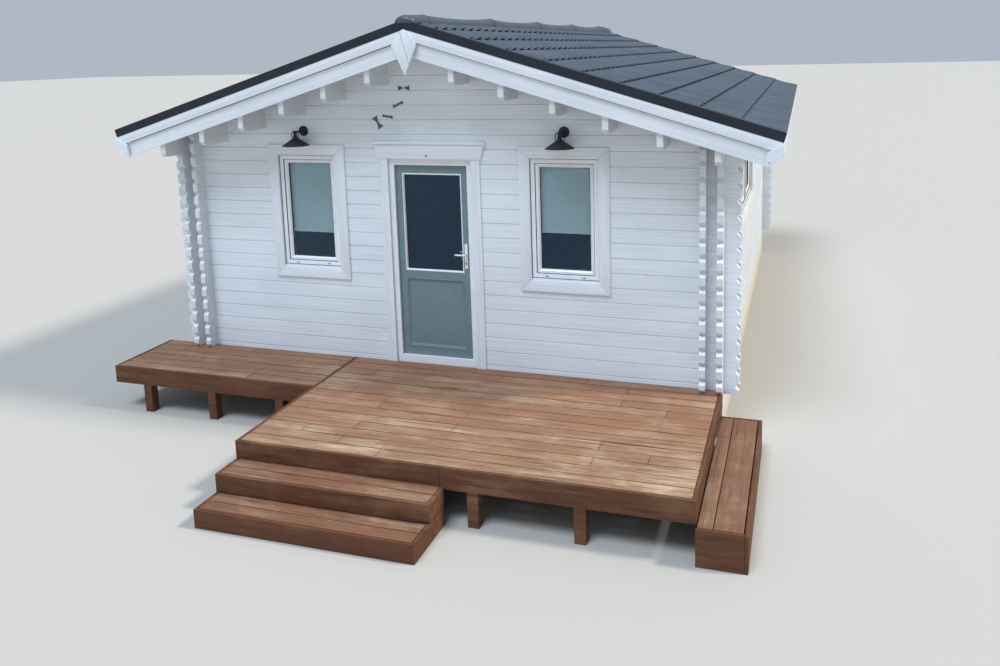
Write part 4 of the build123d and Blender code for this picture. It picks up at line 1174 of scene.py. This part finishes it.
step_low, step_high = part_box("front_steps")
rise = step_high.z / 2
going = (step_high.y - step_low.y) / 2
treads, risers = board_mesh(), board_mesh()
for step in range(2):
    y = step_low.y + step * going
    top = rise * (step + 1)
    foot = top - rise + (0.0 if step == 0 else 0.001)
    add_board(risers, (step_low.x, y, foot), (step_high.x, y + edge, top))
    for x in (step_low.x, step_high.x - edge):
        add_board(risers, (x, y + edge + 0.001, foot), (x + edge, step_high.y - 0.001, top))
    near = y + edge + EDGE_GAP
    width = (y + going - 0.002 - near - BOARD_GAP) / 2
    for k in range(2):
        start = near + k * (width + BOARD_GAP)
        left, right = step_low.x + edge + EDGE_GAP, step_high.x - edge - EDGE_GAP
        level = top - random.uniform(0.0, UNEVEN)
        add_board(treads, (left, start, top - BOARD_THICK), (right, start + width, level), DAMP_AND_SHADE_SIDES)
        for x in spaced(left + 0.02, right - 0.02, JOIST_SPACING):
            for share in SCREW_SHARES:
                add_screw(screws, x, start + share * width, level)
boards_piece("front_step_risers", risers, shaded_edge_boards_along_x)
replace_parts(boards_piece("front_step_treads", treads, shaded_step_boards_along_x), "front_steps")

# One round-headed screw in each plate that closes a barge board's foot
plates_low, plates_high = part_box("barge_end_plates")
screw_head = ((0.0, 0.0010), (0.0045, 0.0010), (0.0055, 0.0), (0.0055, -0.002))
for side in (-1, 1):
    for y, outward in ((plates_low.y, -1), (plates_high.y, 1)):
        place = on_wall((-outward, 0, 0), (side * END_PLATE_SCREW[0], y, END_PLATE_SCREW[1]))
        add_turned(screws, screw_head, place, 10)
make_piece("screw_heads", "root", "deck_wood", screws, screw_steel)

# Floor, light and camera
FLOOR_REACH = 150.0
floor_mesh = bpy.data.meshes.new("studio_floor")
floor_corners = [(x * FLOOR_REACH, y * FLOOR_REACH, 0) for x, y in ((-1, -1), (1, -1), (1, 1), (-1, 1))]
floor_mesh.from_pydata(floor_corners, [], [(0, 1, 2, 3)])
floor = bpy.data.objects.new("studio_floor", floor_mesh)
bpy.context.scene.collection.objects.link(floor)
studio_grey, _, shader = start_finish("pale_studio_floor", 0.9)
shader.inputs["Base Color"].default_value = linear("B4B2AC")
floor_mesh.materials.append(studio_grey)

world = bpy.data.worlds.new("soft_sky")
bpy.context.scene.world = world
world.use_nodes = True
sky = world.node_tree.nodes["Background"]
sky.inputs["Color"].default_value = linear("D3DEEC")
sky.inputs["Strength"].default_value = 0.66

for name, energy, spread, colour, towards in (
    ("soft_key", 2.6, 8, "FFF6EA", (-0.80, -0.12, -0.80)),
    ("soft_fill", 2.3, 24, "E2EEFF", (0.12, 0.44, -0.90)),
):
    light = bpy.data.lights.new(name, "SUN")
    light.energy = energy
    light.angle = math.radians(spread)
    light.color = linear(colour)[:3]
    stand = bpy.data.objects.new(name, light)
    stand.rotation_euler = Vector(towards).to_track_quat("-Z", "Y").to_euler()
    bpy.context.scene.collection.objects.link(stand)

CAMERA_PLACE = (3.5290, -7.7817, 3.6194)
CAMERA_YAW, CAMERA_PITCH, CAMERA_ROLL = (math.radians(a) for a in (17.542, 8.739, -1.430))
CAMERA_SHIFT = (-0.0357, -0.1513)
FOCAL_PIXELS = 855.42
IMAGE_WIDTH = 1000
camera_data = bpy.data.cameras.new("camera")
camera = bpy.data.objects.new("camera", camera_data)
bpy.context.scene.collection.objects.link(camera)
ahead = Vector((-math.sin(CAMERA_YAW), math.cos(CAMERA_YAW), 0))
right = Vector((math.cos(CAMERA_YAW), math.sin(CAMERA_YAW), 0))
up = Vector((0, 0, 1))
view = ahead * math.cos(CAMERA_PITCH) - up * math.sin(CAMERA_PITCH)
above = up * math.cos(CAMERA_PITCH) + ahead * math.sin(CAMERA_PITCH)
rolled_right = right * math.cos(CAMERA_ROLL) + above * math.sin(CAMERA_ROLL)
rolled_up = above * math.cos(CAMERA_ROLL) - right * math.sin(CAMERA_ROLL)
turn = Matrix((rolled_right, rolled_up, -view)).transposed()
camera.matrix_world = Matrix.Translation(Vector(CAMERA_PLACE)) @ turn.to_4x4()
camera_data.sensor_width = 36.0
camera_data.lens = FOCAL_PIXELS / IMAGE_WIDTH * camera_data.sensor_width
camera_data.shift_x, camera_data.shift_y = CAMERA_SHIFT
camera_data.clip_end = 500.0
bpy.context.scene.camera = camera
bpy.context.scene.view_settings.view_transform = "Standard"

bpy.context.view_layer.update()
